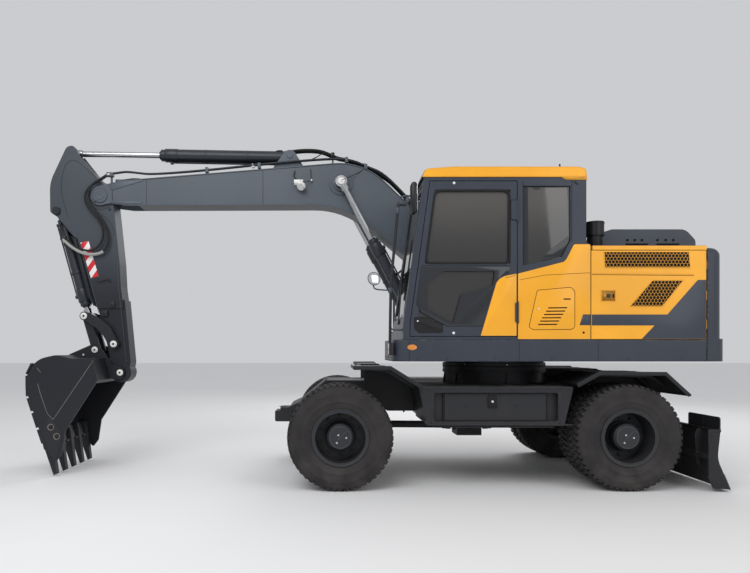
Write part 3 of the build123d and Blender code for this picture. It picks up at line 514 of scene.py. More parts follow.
for end, side in WHEELS:
    for part, name, finish, slot in ((hub_trim, "hub_trim", hub_paint, "cast_steel"),
                                     (studs, "wheel_nuts", rim_paint, "cast_steel"),
                                     (plugs, "hub_plugs", plated_steel, "chrome_rod")):
        fixed(copied(part, to_wheel(end, side)), f"{end}_{side}_{name}", f"{end}_{side}_wheel", finish)
    dress(rim_paint, f"{end}_{side}_rims")
for spent in (hub_trim, studs, plugs):
    bpy.data.objects.remove(spent)


# ---- mudguards ----------------------------------------------------------------------------------
# Pressed steel guards with a folded lip along the outer edge. Two ribs carry each from beneath, and
# its inner plate is bolted to the frame.
MM = 0.001


def outline(points, y, corner=0.0):
    """A flat side-view face from (x, z) corners in millimetres, which may be rounded."""
    piece = drawn(points, lambda x, z: (x * MM, y * MM, z * MM))
    if corner:
        round_off = {"offset": corner * MM, "segments": 5, "affect": "VERTICES"}
        in_edit_mode(piece, (bpy.ops.mesh.bevel, round_off))
    return piece


def plate(points, y, thick, edge=1.5, corner=0.0):
    """A side-view plate, from y to y + thick."""
    return eased(pulled(outline(points, y, corner), (0, thick * MM, 0)), edge * MM)


def box(low, high, edge=3.0):
    """A block with softened edges, in millimetres."""
    deselect()
    bpy.ops.mesh.primitive_cube_add(size=1, location=[(a + b) / 2 * MM for a, b in zip(low, high)],
                                    scale=[(b - a) * MM for a, b in zip(low, high)])
    piece = bpy.context.object
    pick(piece)
    bpy.ops.object.transform_apply(location=True, rotation=True, scale=True)
    return eased(piece, edge * MM)


def rod(start, end, radius, edge=1.5, corners=24):
    """A round bar between two points, in millimetres."""
    start, end = Vector(start) * MM, Vector(end) * MM
    deselect()
    bpy.ops.mesh.primitive_cylinder_add(vertices=corners, radius=radius * MM, depth=(end - start).length)
    piece = bpy.context.object
    turn = Vector((0, 0, 1)).rotation_difference(end - start)
    piece.data.transform(Matrix.Translation((start + end) / 2) @ turn.to_matrix().to_4x4())
    return eased(piece, edge * MM)


def bolt(place, axis, radius=11.0, height=8.0):
    """A bolt head at a place in millimetres."""
    return hexagon_nut([c * MM for c in place], axis, radius * MM, height * MM)


def both_sides(piece):
    """The piece and its mirror image, as one."""
    return joined([piece, copied(piece, MIRROR)])


def handed(piece, side):
    """A left-hand piece, or a list of them, which becomes its mirror image on the right."""
    piece = joined(piece)
    if side == "right":
        piece.data.transform(MIRROR)
        piece.data.flip_normals()
    return piece


def front_guard(tip):
    lip = plate([(tip + 1, 1218.5), (1301, 1218.5), (1000, 1032), (1012, 996), (1310, 1180),
                 (tip + 1, 1180)], 1236, 6)
    nose = box((tip - 6, 384, 1182), (tip + 1.5, 1240, 1217))
    ribs = [plate([(tip - 60, 1206), (1308, 1206), (1020, 1024), (1040, 985), (1318, 1150),
                   (tip - 90, 1176)], y, 8) for y in (620, 930)]
    bolts = [bolt((x, 394, z), LEFTWARD) for x, z in ((925, 745), (925, 975), (1235, 735), (1480, 1150))]
    return joined([lip, nose] + ribs + bolts)


rear_lip = plate([(-493, 1050), (-714, 1166.5), (-1361, 1161.5), (-1592, 950), (-1574, 918), (-1350, 1124),
                  (-724, 1128), (-508, 1010)], 1236, 6)
rear_ribs = [plate([(-520, 1040), (-716, 1154), (-1357, 1150), (-1575, 950), (-1350, 1095), (-724, 1100)],
                   y, 8) for y in (600, 940)]
rear_bolts = [bolt((x, 394, z), LEFTWARD)
              for x, z in ((-640, 1075), (-1000, 1110), (-1300, 1110), (-1690, 930))]
rear_edge = box((-1600, 384, 925), (-1588, 1240, 952))
guard_paint = painted("guard_paint", (0.010, 0.011, 0.014), roughness=0.5, worn=0.4)
for side, tip in zip(SIDES, (1660, 1575)):
    fixed(handed(front_guard(tip), side), f"front_{side}_guard_trim", "chassis", guard_paint)
fixed(both_sides(joined([rear_lip, rear_edge] + rear_ribs + rear_bolts)), "rear_guard_trim", "chassis",
      guard_paint)
dress(guard_paint, "front_fenders", "rear_fenders")


# ---- tool chests --------------------------------------------------------------------------------
# Folded sheet chests between the wheels. The lid is a step too, with a raised grip pattern, and the
# door has a rubber seal round it, two rivets and a bright key in its latch.
grip = Finish("grip_plate")
x, y, z = grip.axes()
row = (x * 22.0) % 1.0
column = (y * 22.0) % 1.0
slant = (row + column) % 1.0
bar_mask = grip.step(slant, 0.35, 0.45) * (1 - grip.step(slant, 0.55, 0.65)) * grip.step(row, 0.08, 0.16) * (
    1 - grip.step(row, 0.84, 0.92))
grime = grip.noise(7.0, 5.0)
grip_plate = grip.set(
    Base_Color=grip.mix(bar_mask * grip.step(grime, 0.3, 0.6) * 0.8,
                        grip.mix(grip.step(grime, 0.35, 0.7), (0.030, 0.033, 0.038), (0.11, 0.10, 0.09)),
                        (0.20, 0.20, 0.20)),
    Roughness=grime * 0.3 + 0.45, Metallic=bar_mask * 0.4, Normal=grip.bump(bar_mask, 0.0022))
seal_rubber = mottled("black_rubber", (90.0, 4.0), (0.006, 0.006, 0.007), (0.012, 0.012, 0.013), (0.2, 0.5),
                      0.0004, Specular_IOR_Level=0.25)


def hollowed(piece, width):
    """Cuts the middle out of a flat outline, which leaves a rim of that width in metres."""
    return in_edit_mode(piece, (bpy.ops.mesh.inset, {"thickness": width}),
                        (bpy.ops.mesh.delete, {"type": "FACE"}))


def rim(points, y, thick, width, edge=1.0, corner=0.0):
    """A side-view plate with its middle cut out, which leaves a rim of that width."""
    piece = hollowed(outline(points, y, corner), width * MM)
    return eased(pulled(piece, (0, thick * MM, 0)), edge * MM)


def rectangle(x_low, x_high, z_low, z_high):
    return [(x_low, z_low), (x_high, z_low), (x_high, z_high), (x_low, z_high)]


for side in SIDES:
    step_sheet = box((-470, 420, 1008), (1012, 1188, 1011.5), 1.0)
    fixed(handed(step_sheet, side), f"{side}_chest_step", "chassis", grip_plate)
    rails = [box((-478, 1184, 992), (1018, 1192, 1014)), box((-470, 1182, 636), (940, 1191.5, 650))]
    ends = [plate(rectangle(x, x + 24, 690, 950), 1189, 2.5) for x in (-360, 884)]
    foot_rail = [rod((-300, 1150, 622), (860, 1150, 622), 11)] + [
        rod((x, 1150, 622), (x, 1150, 645), 9) for x in (-290, 280, 850)]
    bolts = [bolt((x, 1189, z), LEFTWARD, 8, 6)
             for x, z in ((-372, 980), (280, 985), (930, 980), (905, 665), (-345, 665))]
    fixed(handed(rails + ends + foot_rail + bolts, side), f"{side}_chest_trim", "chassis", chassis_paint)
    seal = rim(rectangle(-240, 785, 672, 955), 1131, 24, 13, 2, 20)
    fixed(handed(seal, side), f"{side}_chest_seal", "chassis", seal_rubber)
    rivets = [rod((x, 1156, 824), (x, 1161, 824), 8, 2) for x in (63, 561)]
    latch_plate = plate(rectangle(256, 345, 808, 928), 1157, 14, 3, 8)
    fixed(handed([latch_plate] + rivets, side), f"{side}_chest_latch", f"{side}_toolbox_lid", seal_rubber)
    key = [rod((304, 1171, 869), (304, 1178, 869), 12), box((300, 1176, 858), (308, 1182, 880), 1)]
    fixed(handed(key, side), f"{side}_chest_key", f"{side}_toolbox_lid", plated_steel)
dress(chassis_paint, "left_toolbox", "right_toolbox", "left_toolbox_door", "right_toolbox_door")


# ---- frame, slewing ring and hitch --------------------------------------------------------------
# The frame is a welded box with a plate ring for the slewing bearing. Bolts hold the bearing's outer
# race all round, grease nipples feed it, and the nose has a jaw with wear washers for a tow pin.
SLEW_AXIS = (0, 0, 0)
race = turned([(0.556, 1.126), (0.580, 1.126), (0.580, 1.146), (0.575, 1.150), (0.556, 1.150)], SLEW_AXIS,
              UPWARD, 96)
race_bolts = ringed(bolt((569, 0, 1121), UPWARD, 9, 9), SLEW_AXIS, UPWARD, 44)
turret_gussets = ringed(plate([(555, 1020), (584, 1012), (568, 1118), (555, 1118)], -5, 10), SLEW_AXIS,
                        UPWARD, 12)
fixed([race, race_bolts], "slewing_race", "chassis", guard_paint)
fixed(turret_gussets, "turret_gussets", "chassis", chassis_paint)
lip_seal = turned([(0.572, 1.188), (0.5785, 1.186), (0.5805, 1.194), (0.5785, 1.202), (0.572, 1.200)],
                  SLEW_AXIS, UPWARD, 96)
fixed(lip_seal, "slewing_ring_seal", "chassis", seal_rubber)
nipples = ringed(joined([rod((574, 0, 1216), (586, 0, 1216), 6, 1, 12),
                         rod((584, 0, 1216), (592, 0, 1216), 3.5, 1, 12)]), SLEW_AXIS, UPWARD, 8)
fixed(nipples, "slewing_ring_nipples", "chassis", plated_steel)
dress(chassis_paint, "chassis_frame", "slew_bearing")

nose_web = [plate([(2110, 722), (2330, 690), (2330, 640), (2250, 560), (2150, 640)], y, 14)
            for y in (-250, 236)]
nose_plate = plate([(1930, 1044), (2200, 824), (2214, 800), (1990, 985)], -372, 744, 3)
washer = turned([(0.027, 0.7195), (0.062, 0.7195), (0.062, 0.7235), (0.027, 0.7235)], (2.415, 0, 0), UPWARD,
                32)
frame_bolts = [bolt((x, y, z), (0, math.copysign(1, y), 0), 12, 9)
               for x, z in ((1080, 900), (1080, 700), (1500, 990), (1800, 990), (2050, 860), (-520, 740),
                            (-700, 900), (-1330, 900), (-1100, 1000)) for y in (-380, 380)]
ties = [rod((x, y, 700), (x, y + math.copysign(14, y), 700), 26, 3) for x in (2240, -1330)
        for y in (-380, 380)]
fixed(nose_web + [nose_plate, washer] + frame_bolts + ties, "frame_trim", "chassis", chassis_paint)


# ---- axles, shafts and steering -----------------------------------------------------------------
# Cast axle housings with bolted differential covers. Each propeller shaft has a flanged yoke and a
# cross at both ends, and a double-ended steering cylinder sits round the track rod.
cast_iron = painted("cast_iron", (0.012, 0.013, 0.016), roughness=0.6, dust=0.15, worn=0.35, coat=0.05,
                    round_edge=0.006)
dress(cast_iron, "front_axle", "rear_axle", "left_knuckle", "right_knuckle", "driveline", "tie_rod")
AXLE_MM = AXLE_HEIGHT / MM


def cover(x, face, way):
    """Bolted cover on one face of a differential."""
    ring = turned([(0.05, 0), (0.150, 0), (0.150, 0.014 * way), (0.112, 0.026 * way), (0.05, 0.026 * way)],
                  (face * MM, 0, AXLE_HEIGHT), FORWARD, 48)
    bolts = ringed(bolt((face + 13 * way, 0, AXLE_MM + 134), (way, 0, 0), 9, 8), (face * MM, 0, AXLE_HEIGHT),
                   FORWARD, 12)
    return joined([ring, bolts])


SHAFT = 514


def joint_cross(x, way):
    """A flanged yoke, its cross and the shaft's own yoke, at a differential or gearbox face."""
    def block(start, end, low, high):
        """A part of a yoke that starts and ends at distances from the face."""
        near, far = sorted((x + start * way, x + end * way))
        return box((near, *low), (far, *high), 4)

    def bar(start, end, radius, edge=1.5):
        return rod((x + start * way, 0, SHAFT), (x + end * way, 0, SHAFT), radius, edge)

    flange = bar(0, 14, 62, 2)
    flange_bolts = ringed(bolt((x + 13 * way, 0, SHAFT + 50), (way, 0, 0), 7, 8), (x * MM, 0, SHAFT * MM),
                          FORWARD, 4)
    arms = [block(12, 62, (low, 492), (low + 14, 536)) for low in (-52, 38)]
    arms += [block(44, 100, (-22, low), (22, low + 14)) for low in (462, 552)]
    cross = [rod((x + 52 * way, -54, SHAFT), (x + 52 * way, 54, SHAFT), 11),
             rod((x + 52 * way, 0, SHAFT - 54), (x + 52 * way, 0, SHAFT + 54), 11)]
    return joined([flange, flange_bolts, bar(92, 140, 50, 4)] + arms + cross)


REAR_X, FRONT_X = -1010, 1790
covers = [cover(REAR_X, REAR_X - 190, -1), cover(FRONT_X, FRONT_X + 288, 1)]
plugs = [rod((x, 0, AXLE_MM - 246), (x, 0, AXLE_MM - 232), 16, 2, 6) for x in (REAR_X, FRONT_X)]
hub_bolts = [ringed(bolt((x, y * side, AXLE_MM + 112), (0, side, 0), 8, 7), (x * MM, 0, AXLE_HEIGHT),
                    LEFTWARD, 12) for x, y in ((REAR_X, 470), (REAR_X, 655)) for side in (-1, 1)]
fixed(covers + plugs + hub_bolts, "axle_covers", "chassis", cast_iron)
crosses = [joint_cross(REAR_X + 190, 1), joint_cross(168, -1), joint_cross(452, 1), joint_cross(1488, -1)]
fixed(crosses, "shaft_joints", "chassis", cast_iron)
case_ribs = [box((x, -154, 412), (x + 10, 154, 634), 3) for x in (210, 260, 310, 360, 410)]
case_ribs += [rod((310, 150, 470), (310, 168, 470), 24, 3, 6),
              rod((250, -10, 396), (250, -10, 410), 20, 3, 6)]
fixed(case_ribs, "gearbox_ribs", "chassis", cast_iron)
steering_barrel = [rod((1590, low, 389), (1590, high, 389), radius, 3)
                   for low, high, radius in ((-250, 250, 34), (-262, -244, 42), (244, 262, 42))]
steering_barrel += [box((1600, low, 372), (1712, low + 40, 420), 4) for low in (-235, 195)]
fixed(steering_barrel, "steering_barrel", "chassis", cast_iron)


# ---- levelling blade ----------------------------------------------------------------------------
# A rolled mouldboard with a bolted, worn cutting edge. Ribs stiffen its back, and end posts carry
# the lifting holes.
blade_paint = painted("blade_paint", (0.008, 0.009, 0.012), roughness=0.5, dust=0.06, worn=0.4, coat=0.05)
dress(blade_paint, "blade")
worn_steel = Finish("worn_steel")
rub = worn_steel.noise(14.0, 6.0, stretch=(0.3, 1, 1))
rust = worn_steel.noise(5.0, 5.0)
rusty = worn_steel.step(rust, 0.45, 0.7)
bright = worn_steel.mix(rub, (0.20, 0.20, 0.20), (0.36, 0.355, 0.34))
scratched_steel = worn_steel.set(Base_Color=worn_steel.mix(rusty, bright, (0.12, 0.075, 0.045)),
                                 Metallic=(1 - rusty) * 0.8, Roughness=rub * 0.3 + 0.35,
                                 Normal=worn_steel.bump(rub * 0.6 + rust, 0.0012))
edge_plate = plate([(-1986, 20), (-1972, 20), (-1911, 168), (-1925, 172)], -1240, 2480, 2)
edge_bolts = [bolt((-1939, y, 140), (-0.92, 0, 0.39), 13, 7) for y in range(-1150, 1151, 230)]
fixed([edge_plate] + edge_bolts, "blade_cutting_edge", "blade", scratched_steel)
posts = [plate([(-1884, 606), (-1760, 606), (-1760, 560), (-1772, 145), (-1818, 60), (-1830, 60),
                (-1790, 160), (-1790, 570), (-1884, 580)], y, 6) for y in (1240, -1246)]
posts += [rod((-1800, y, 560), (-1800, y + 3, 560), 16, 1) for y in (1246, -1249)]
ribs = [plate([(-1850, 300), (-1800, 300), (-1782, 330), (-1800, 360), (-1850, 360)], -1228, 2456)]
ribs += [plate([(-1868, 590), (-1800, 590), (-1770, 540), (-1790, 250), (-1820, 180), (-1850, 300)], y, 12)
         for y in (-1000, -660, -420, 408, 648, 988)]
eyes = [turned([(0.020, -0.010), (0.044, -0.010), (0.044, 0.010), (0.020, 0.010)], (-1.874, y, 0.655),
               FORWARD, 28) for y in (-0.95, 0.95)]
fixed(posts + ribs + eyes, "blade_stiffeners", "blade", blade_paint)
pins = [rod((-1330, y, 700), (-1330, y + math.copysign(10, y), 700), 30, 3) for y in (-328, 328, -262, 262)]
fixed(pins, "blade_pin_heads", "blade", plated_steel)
chrome_rod = mottled("chrome_rod", (25.0, 3.0, (1, 1, 0.2)), (0.40, 0.41, 0.43), (0.54, 0.54, 0.55),
                     (0.12, 0.10), 0.0001, Metallic=1.0)
dress(chrome_rod, "blade_rods", "boom_rods", "arm_rod", "bucket_rod")
dress(blade_paint, "blade_barrels")


# ---- slewing platform ---------------------------------------------------------------------------
# A welded platform with rolled skirts round its side decks. The skirt is bolted on in lengths, the
# walkways carry grip strips, and a side marker lamp sits at the left front corner.
deck_paint = painted("deck_paint", (0.033, 0.040, 0.056), roughness=0.38, worn=0.3, round_edge=0.03)
dress(deck_paint, "upper_frame")
# Near black for painted shadow in the seams and gaps between parts.
seam_shadow_paint = painted("seam_shadow", (0.004, 0.004, 0.005), roughness=0.8, dust=0.1, worn=0.0, coat=0.0)
# Painted shadow: the skirt's seams are thin near-black strips.
seams = [box((x, low, 1264), (x + wide, low + 4.6, 1471), 0.5)
         for low, marks in ((1241, ((1120, 4), (62, 4), (-700, 4), (-1752, 7))),
                            (-1245.6, ((930, 4), (62, 4), (-700, 4), (-1752, 7)))) for x, wide in marks]
fixed(seams, "skirt_seams", "house", seam_shadow_paint)
skirt_bolts = [bolt((x, y * 1243.5, 1290), (0, y, 0), 9, 3.5) for x in (1040, 760, 300, -250, -980, -1500)
               for y in (-1, 1) if x * y != -1040]
skirt_bolts += [bolt((1274, y, 1300), FORWARD, 9, 6) for y in (330, 700, 1060)]
skirt_bolts += [bolt((1099, y, 1300), FORWARD, 9, 6) for y in (-430, -700, -1060)]
fixed(skirt_bolts, "skirt_bolts", "house", deck_paint)
treads = [box((1192, 300, 1471), (1268, 1110, 1474), 1), box((1080, -1100, 1471), (1096, -420, 1474), 1)]
fixed(treads, "deck_grip_strips", "house", grip_plate)


def lens(name, colour):
    """A moulded plastic lens with fine ribs behind a clear face."""
    finish = Finish(name)
    ribs = (sum(finish.axes()[1:], finish.axes()[0]) * 160.0) % 1.0
    shade = finish.mix(ribs, colour, [c * 0.6 for c in colour])
    return finish.set(Base_Color=shade, Roughness=ribs * 0.1 + 0.1, Coat_Weight=0.8, Coat_Roughness=0.05,
                      Normal=finish.bump(finish.step(ribs, 0.2, 0.8), 0.0008))


amber_lens = lens("amber_lens", (0.90, 0.30, 0.02))
red_lens = lens("red_lens", (0.55, 0.012, 0.008))
clear_lens = lens("clear_lens", (0.72, 0.73, 0.74))
marker = plate([(1097 + 46 * math.cos(turn * math.pi / 12), 1399 + 27 * math.sin(turn * math.pi / 12))
                for turn in range(24)], 1244, 4.5, 2)
fixed(marker, "side_marker_lamp", "house", amber_lens)


# ---- engine bay doors ---------------------------------------------------------------------------
# Pressed amber doors with a slate lower skin. Hexagon mesh covers the two air openings, a crease
# stiffens the sheet, and the latch is an amber cup with a dark slot and a dark key.
def bisected(piece, place, away):
    """Cuts the piece by a plane and drops what lies on the far side."""
    cut = {"plane_co": place, "plane_no": away, "clear_outer": True, "use_fill": False}
    return in_edit_mode(piece, (bpy.ops.mesh.bisect, cut))


def hexagon_mesh(corners, y, pitch=34.0, web=3.2, thick=3.0):
    """Sheet with hexagon holes, cut to a convex outline of (x, z) corners in millimetres."""
    reach = pitch / 3 ** 0.5
    cell = hollowed(outline([(reach * math.sin(n * math.pi / 3), reach * math.cos(n * math.pi / 3))
                             for n in range(6)], y), web * 0.5 * MM)
    xs, zs = [c[0] for c in corners], [c[1] for c in corners]
    rise = pitch * 3 ** 0.5 / 2
    cells = []
    for row in range(int((max(zs) - min(zs)) / rise) + 2):
        for step in range(int((max(xs) - min(xs)) / pitch) + 2):
            move = (min(xs) + (step + 0.5 * (row % 2)) * pitch, 0, min(zs) + row * rise)
            cells.append(copied(cell, Matrix.Translation([m * MM for m in move])))
    bpy.data.objects.remove(cell)
    sheet = tidied(joined(cells), 0.0004)
    middle = Vector((sum(xs), sum(zs))) / len(corners)
    for a, b in zip(corners, corners[1:] + corners[:1]):
        run = Vector((b[0] - a[0], b[1] - a[1]))
        away = Vector((run.y, -run.x)).normalized()
        if away.dot(middle - Vector(a)) > 0:
            away = -away
        bisected(sheet, (a[0] * MM, 0, a[1] * MM), (away.x, 0, away.y))
    return tidied(pulled(sheet, (0, thick * MM, 0)), 0.0002)


door_amber = painted("door_amber", AMBER, roughness=0.34, worn=0.15, coat=0.25, round_edge=0.012)
slate_skin = painted("slate_skin", (0.040, 0.048, 0.066), roughness=0.36, worn=0.2)
dress(door_amber, "left_engine_door", "right_engine_door")
# Near black for painted shade in openings, slots, creases and gaps.
recess_shade_paint = painted("grille_dark", (0.006, 0.006, 0.006), roughness=0.85, dust=0.05, worn=0.0, coat=0.0)
UPPER_GRILLE = [(-750, 2324), (-1576, 2324), (-1592, 2164), (-760, 2164)]
LOWER_GRILLE = [(-1222, 2050), (-1528, 2050), (-1318, 1790), (-996, 1790)]
GRILLES = (UPPER_GRILLE, LOWER_GRILLE)
# The near-black trim is painted shade, though its slot says black plastic.
AMBER_TRIM, SHADE_TRIM = (amber_paint, "amber_paint"), (recess_shade_paint, "black_plastic")
# Painted shade: the sheets behind the two openings, the latch slot and the crease line take the near-black
# trim.
for side in SIDES:
    for name, piece, (finish, slot) in (
            ("door_openings", [plate(grille, 1244.6, 0.8, 0.2, 12) for grille in GRILLES], SHADE_TRIM),
            ("door_mesh", [hexagon_mesh(grille, 1245.6) for grille in GRILLES]
             + [rim(grille, 1245.2, 4, 7, 1) for grille in GRILLES]
             + [plate([(-640, 2110), (-640, 2117), (-1622, 2108), (-1622, 2101)], 1244.5, 3.5, 1.5)],
             AMBER_TRIM),
            ("door_skin", plate([(-636, 1716), (-1366, 1716), (-1660, 2050), (-1739, 2050), (-1739, 1480),
                                 (-1118, 1480), (-1242, 1610), (-636, 1610)], 1244.6, 2.6, 1.2),
             (slate_skin, "slate_paint")),
            ("latch_rim", rim(rectangle(-870, -722, 1838, 1954), 1245, 3.5, 9, 1.5, 8), AMBER_TRIM),
            ("latch_well", plate(rectangle(-861, -731, 1847, 1945), 1244.8, 0.8, 0.3, 5),
             (door_amber, "amber_paint")),
            ("latch_slot", box((-852, 1245, 1876), (-838, 1248.4, 1916), 1), SHADE_TRIM),
            ("door_crease", plate([(-640, 2098), (-640, 2103), (-1622, 2094), (-1622, 2089)], 1244.8, 0.6,
                                  0.2), SHADE_TRIM),
            ("latch_key", [box((-815, 1245, 1878), (-777, 1247.8, 1914), 2),
                           rod((-796, 1247, 1896), (-796, 1249, 1896), 10)], (rim_paint, "chrome_rod")),
            ("door_hinges", [rod((-1743, 1247, z - 47), (-1743, 1247, z + 47), 3.05, 1, 12)
                             for z in (1620, 1900, 2200)], (slate_paint, "slate_paint"))):
        fixed(handed(piece, side), f"{side}_{name}", f"{side}_engine_door", finish)


# ---- engine bay, hood and intake ----------------------------------------------------------------
# Plates round the bay, painted amber at the sides. The hood has pressed louvres, bolted hinges and
# lift handles; the intake bowl is black plastic and the exhaust is heat-stained steel.
dress(amber_paint, "bay_frame")
hood_paint = painted("hood_paint", (0.045, 0.054, 0.070), roughness=0.42, dust=0.12, worn=0.3,
                     round_edge=0.02)
dress(hood_paint, "engine_hood")
walk = [box((-1741, y, 2379), (-652, y + 380, 2382), 1) for y in (862, -1242)]
walk += [box((-868, -850, 2379), (-652, 850, 2382), 1)]
fixed(walk, "bay_walkway", "house", grip_plate)
hood_bolts = [bolt((x, 851 * y, 2502), (0, y, 0), 13, 8) for x in (-1162, -1238, -1311, -1470, -1555, -1632)
              for y in (-1, 1)]
handles = [rod((a, 856 * y, 2459), (b, 856 * y, 2459), 8, 3) for a, b in ((-1147, -1373), (-1462, -1691))
           for y in (-1, 1)]
fixed(hood_bolts + handles, "hood_hardware", "engine_hood", seam_shadow_paint)
LOUVRES = [(column, -1080 - 72 * n) for column in (-520, -40, 440) for n in range(9)]
louvres = [plate([(x, 2610), (x - 44, 2610), (x - 44, 2619), (x - 34, 2619)], column - 190, 380, 1.2)
           for column, x in LOUVRES]
fixed(louvres, "hood_louvres", "engine_hood", hood_paint)
# Painted shade: the gaps between the louvres are near-black strips.
gaps = [box((x - 50, column - 186, 2610.5), (x - 45, column + 186, 2617), 1) for column, x in LOUVRES]
fixed(gaps, "hood_louvre_gaps", "engine_hood", recess_shade_paint)
hood_seal = joined([box((-1866, -852, 2386), (-838, -842, 2396), 2),
                    box((-1866, 842, 2386), (-838, 852, 2396), 2),
                    box((-848, -850, 2386), (-838, 850, 2396), 2)])
fixed(hood_seal, "hood_seal", "engine_hood", seal_rubber)

black_plastic = mottled("black_plastic", (240.0, 2.0), (0.008, 0.008, 0.009), (0.014, 0.014, 0.016),
                        (0.12, 0.30), 0.0002, Specular_IOR_Level=0.3)
dress(black_plastic, "precleaner", "steering_column", "side_consoles")
BOWL = (-0.760, 1.010, 0)
bowl_vanes = ringed(box((-762, 1010 + 66, 2420), (-758, 1010 + 73, 2505), 1), BOWL, UPWARD, 30)
bowl_bands = [turned([(0.088, z), (0.093, z), (0.093, z + 0.010), (0.088, z + 0.010)], BOWL, UPWARD, 48)
              for z in (2.520, 2.634)]
cap_knob = rod((-760, 1010, 2650), (-760, 1010, 2660), 14, 4)
fixed([bowl_vanes, cap_knob] + bowl_bands, "precleaner_vanes", "house", black_plastic)
bowl_clamp = turned([(0.045, 2.386), (0.049, 2.386), (0.049, 2.400), (0.045, 2.400)], BOWL, UPWARD, 40)
clamp_screw = rod((-790, 1052, 2393), (-735, 1062, 2393), 5, 1, 12)
fixed([bowl_clamp, clamp_screw], "precleaner_clamp", "house", plated_steel)

pipe_steel = Finish("heat_stained_steel")
heat = pipe_steel.step(pipe_steel.axes()[2] + pipe_steel.noise(9.0, 4.0) * 0.1, 2.42, 2.62)
exhaust_steel = pipe_steel.set(Base_Color=pipe_steel.mix(heat, (0.16, 0.10, 0.07), (0.20, 0.20, 0.23)),
                               Metallic=0.85, Roughness=heat * -0.2 + 0.5,
                               Normal=pipe_steel.bump(pipe_steel.noise(60.0, 3.0), 0.0005))
dress(exhaust_steel, "exhaust_pipe")
PIPE = (-1.180, -1.010, 0)
fixed([turned([(0.0555, z), (0.063, z), (0.063, z + 0.012), (0.0555, z + 0.012)], PIPE, UPWARD, 40)
       for z in (2.384, 2.400, 2.545)] + [ringed(bolt((-1180, -952, 2412), UPWARD, 6, 6), PIPE, UPWARD, 6)],
      "exhaust_bands", "house", exhaust_steel)
dress(cast_iron, "engine_block")
rocker = [box((-1440, -300, 2256), (-960, -80, 2300), 12), box((-1440, 80, 2256), (-960, 300, 2300), 12)]
engine_bits = rocker + [rod((-1400 + 90 * n, 484, 1760), (-1400 + 90 * n, 484, 2120), 16, 4)
                        for n in range(6)]
engine_bits += [rod((-1200, -480, 1800), (-1200, -600, 1800), 70, 8),
                rod((-1300, 480, 1640), (-1050, 480, 1640), 60, 8)]
fixed(engine_bits, "engine_castings", "house", cast_iron)


# ---- counterweight ------------------------------------------------------------------------------
# One casting with a parting line and a recessed louvre panel. Its lower corners hold the rear lamps,
# its top has lifting eyes, and a camera pod looks back from the middle.
weight_paint = painted("weight_paint", (0.032, 0.038, 0.052), roughness=0.4, worn=0.4, round_edge=0.03)
dress(weight_paint, "counterweight")


def arc_slab(turns, outer, inner, z_low, z_high):
    """A slab between two arcs about the slewing axis, at angles in degrees from straight back."""
    def on_arc(turn, radius):
        turn = math.radians(turn)
        return -radius * math.cos(turn), radius * math.sin(turn)

    corners = [on_arc(turn, outer) for turn in turns] + [on_arc(turn, inner) for turn in reversed(turns)]
    return pulled(drawn(corners, lambda x, y: (x * MM, y * MM, z_low * MM)), (0, 0, (z_high - z_low) * MM))


def tail_band(radius, z_low, z_high, half, proud):
    """A strip that follows the tail's arc, half degrees each way."""
    turns = [-half + half * n / 8 for n in range(17)]
    return eased(arc_slab(turns, radius + proud, radius - 6, z_low, z_high), 0.0015, 1)


TAIL_FACE, FOOT_FACE = 2245, 2270
tail_slats = [tail_band(TAIL_FACE, 1960 + 44 * n, 1986 + 44 * n, 10, 5) for n in range(6)]
tail_rim = [tail_band(TAIL_FACE, 1936, 1948, 11, 8), tail_band(TAIL_FACE, 2226, 2238, 11, 8)]
fixed(tail_slats + tail_rim, "tail_louvres", "house", slate_paint)
# Painted shade: a near-black band behind the louvre slats.
fixed(tail_band(TAIL_FACE, 1950, 2224, 10.6, 1.2), "tail_louvre_back", "house", recess_shade_paint)
# Painted shadow: near-black strips along the parting line and the foot's seam.
tail_seams = [tail_band(TAIL_FACE, 1700, 1704, 24, 0.8), tail_band(FOOT_FACE, 1476, 1480, 26, -4)]
fixed(tail_seams, "tail_seams", "house", seam_shadow_paint)
fixed(tail_band(FOOT_FACE, 1296, 1340, 30, -3), "tail_bumper_step", "house", deck_paint)
LAMP_BASE = 1520
for side, way in (("left", 1), ("right", -1)):
    for finish, low, high in ((red_lens, 0, 60), (amber_lens, 66, 110), (clear_lens, 116, 150)):
        lamp = arc_slab((way * 21.5, way * 25.0), 2249, 2236, LAMP_BASE + low, LAMP_BASE + high)
        fixed(eased(lamp, 0.004), f"{side}_rear_lamp_{low}", "house", finish)
lifting = [turned([(0.031, 0), (0.058, 0), (0.058, 0.012), (0.052, 0.018), (0.036, 0.018), (0.031, 0.012)],
                  (-1.900, y, 2.368), UPWARD, 40) for y in (-0.600, 0.600)]
pod = [box((-2252, -62, 2252), (-2190, 62, 2308), 10), rod((-2248, 0, 2280), (-2262, 0, 2280), 20, 3)]
tail_handles = [rod((-1990, y, 2380), (-1990, y + 160, 2380), 9, 3) for y in (-240, 80)]
tail_handles += [rod((-1990, y, 2360), (-1990, y, 2380), 9, 2) for y in (-236, -84, 84, 236)]
fixed(lifting + tail_handles, "weight_trim", "house", slate_paint)
fixed(pod, "rear_camera_pod", "house", black_plastic)
# Painted shade: thin near-black sheets in the gap between the engine doors and the counterweight.
gap_shade = [plate([(-1752, 1490), (-1745.5, 1490), (-1745.5, 2320), (-1752, 2320)], y, 1.2, 0.3)
          for y in (1244.8, -1246)]
fixed(gap_shade, "weight_gap", "house", seam_shadow_paint)


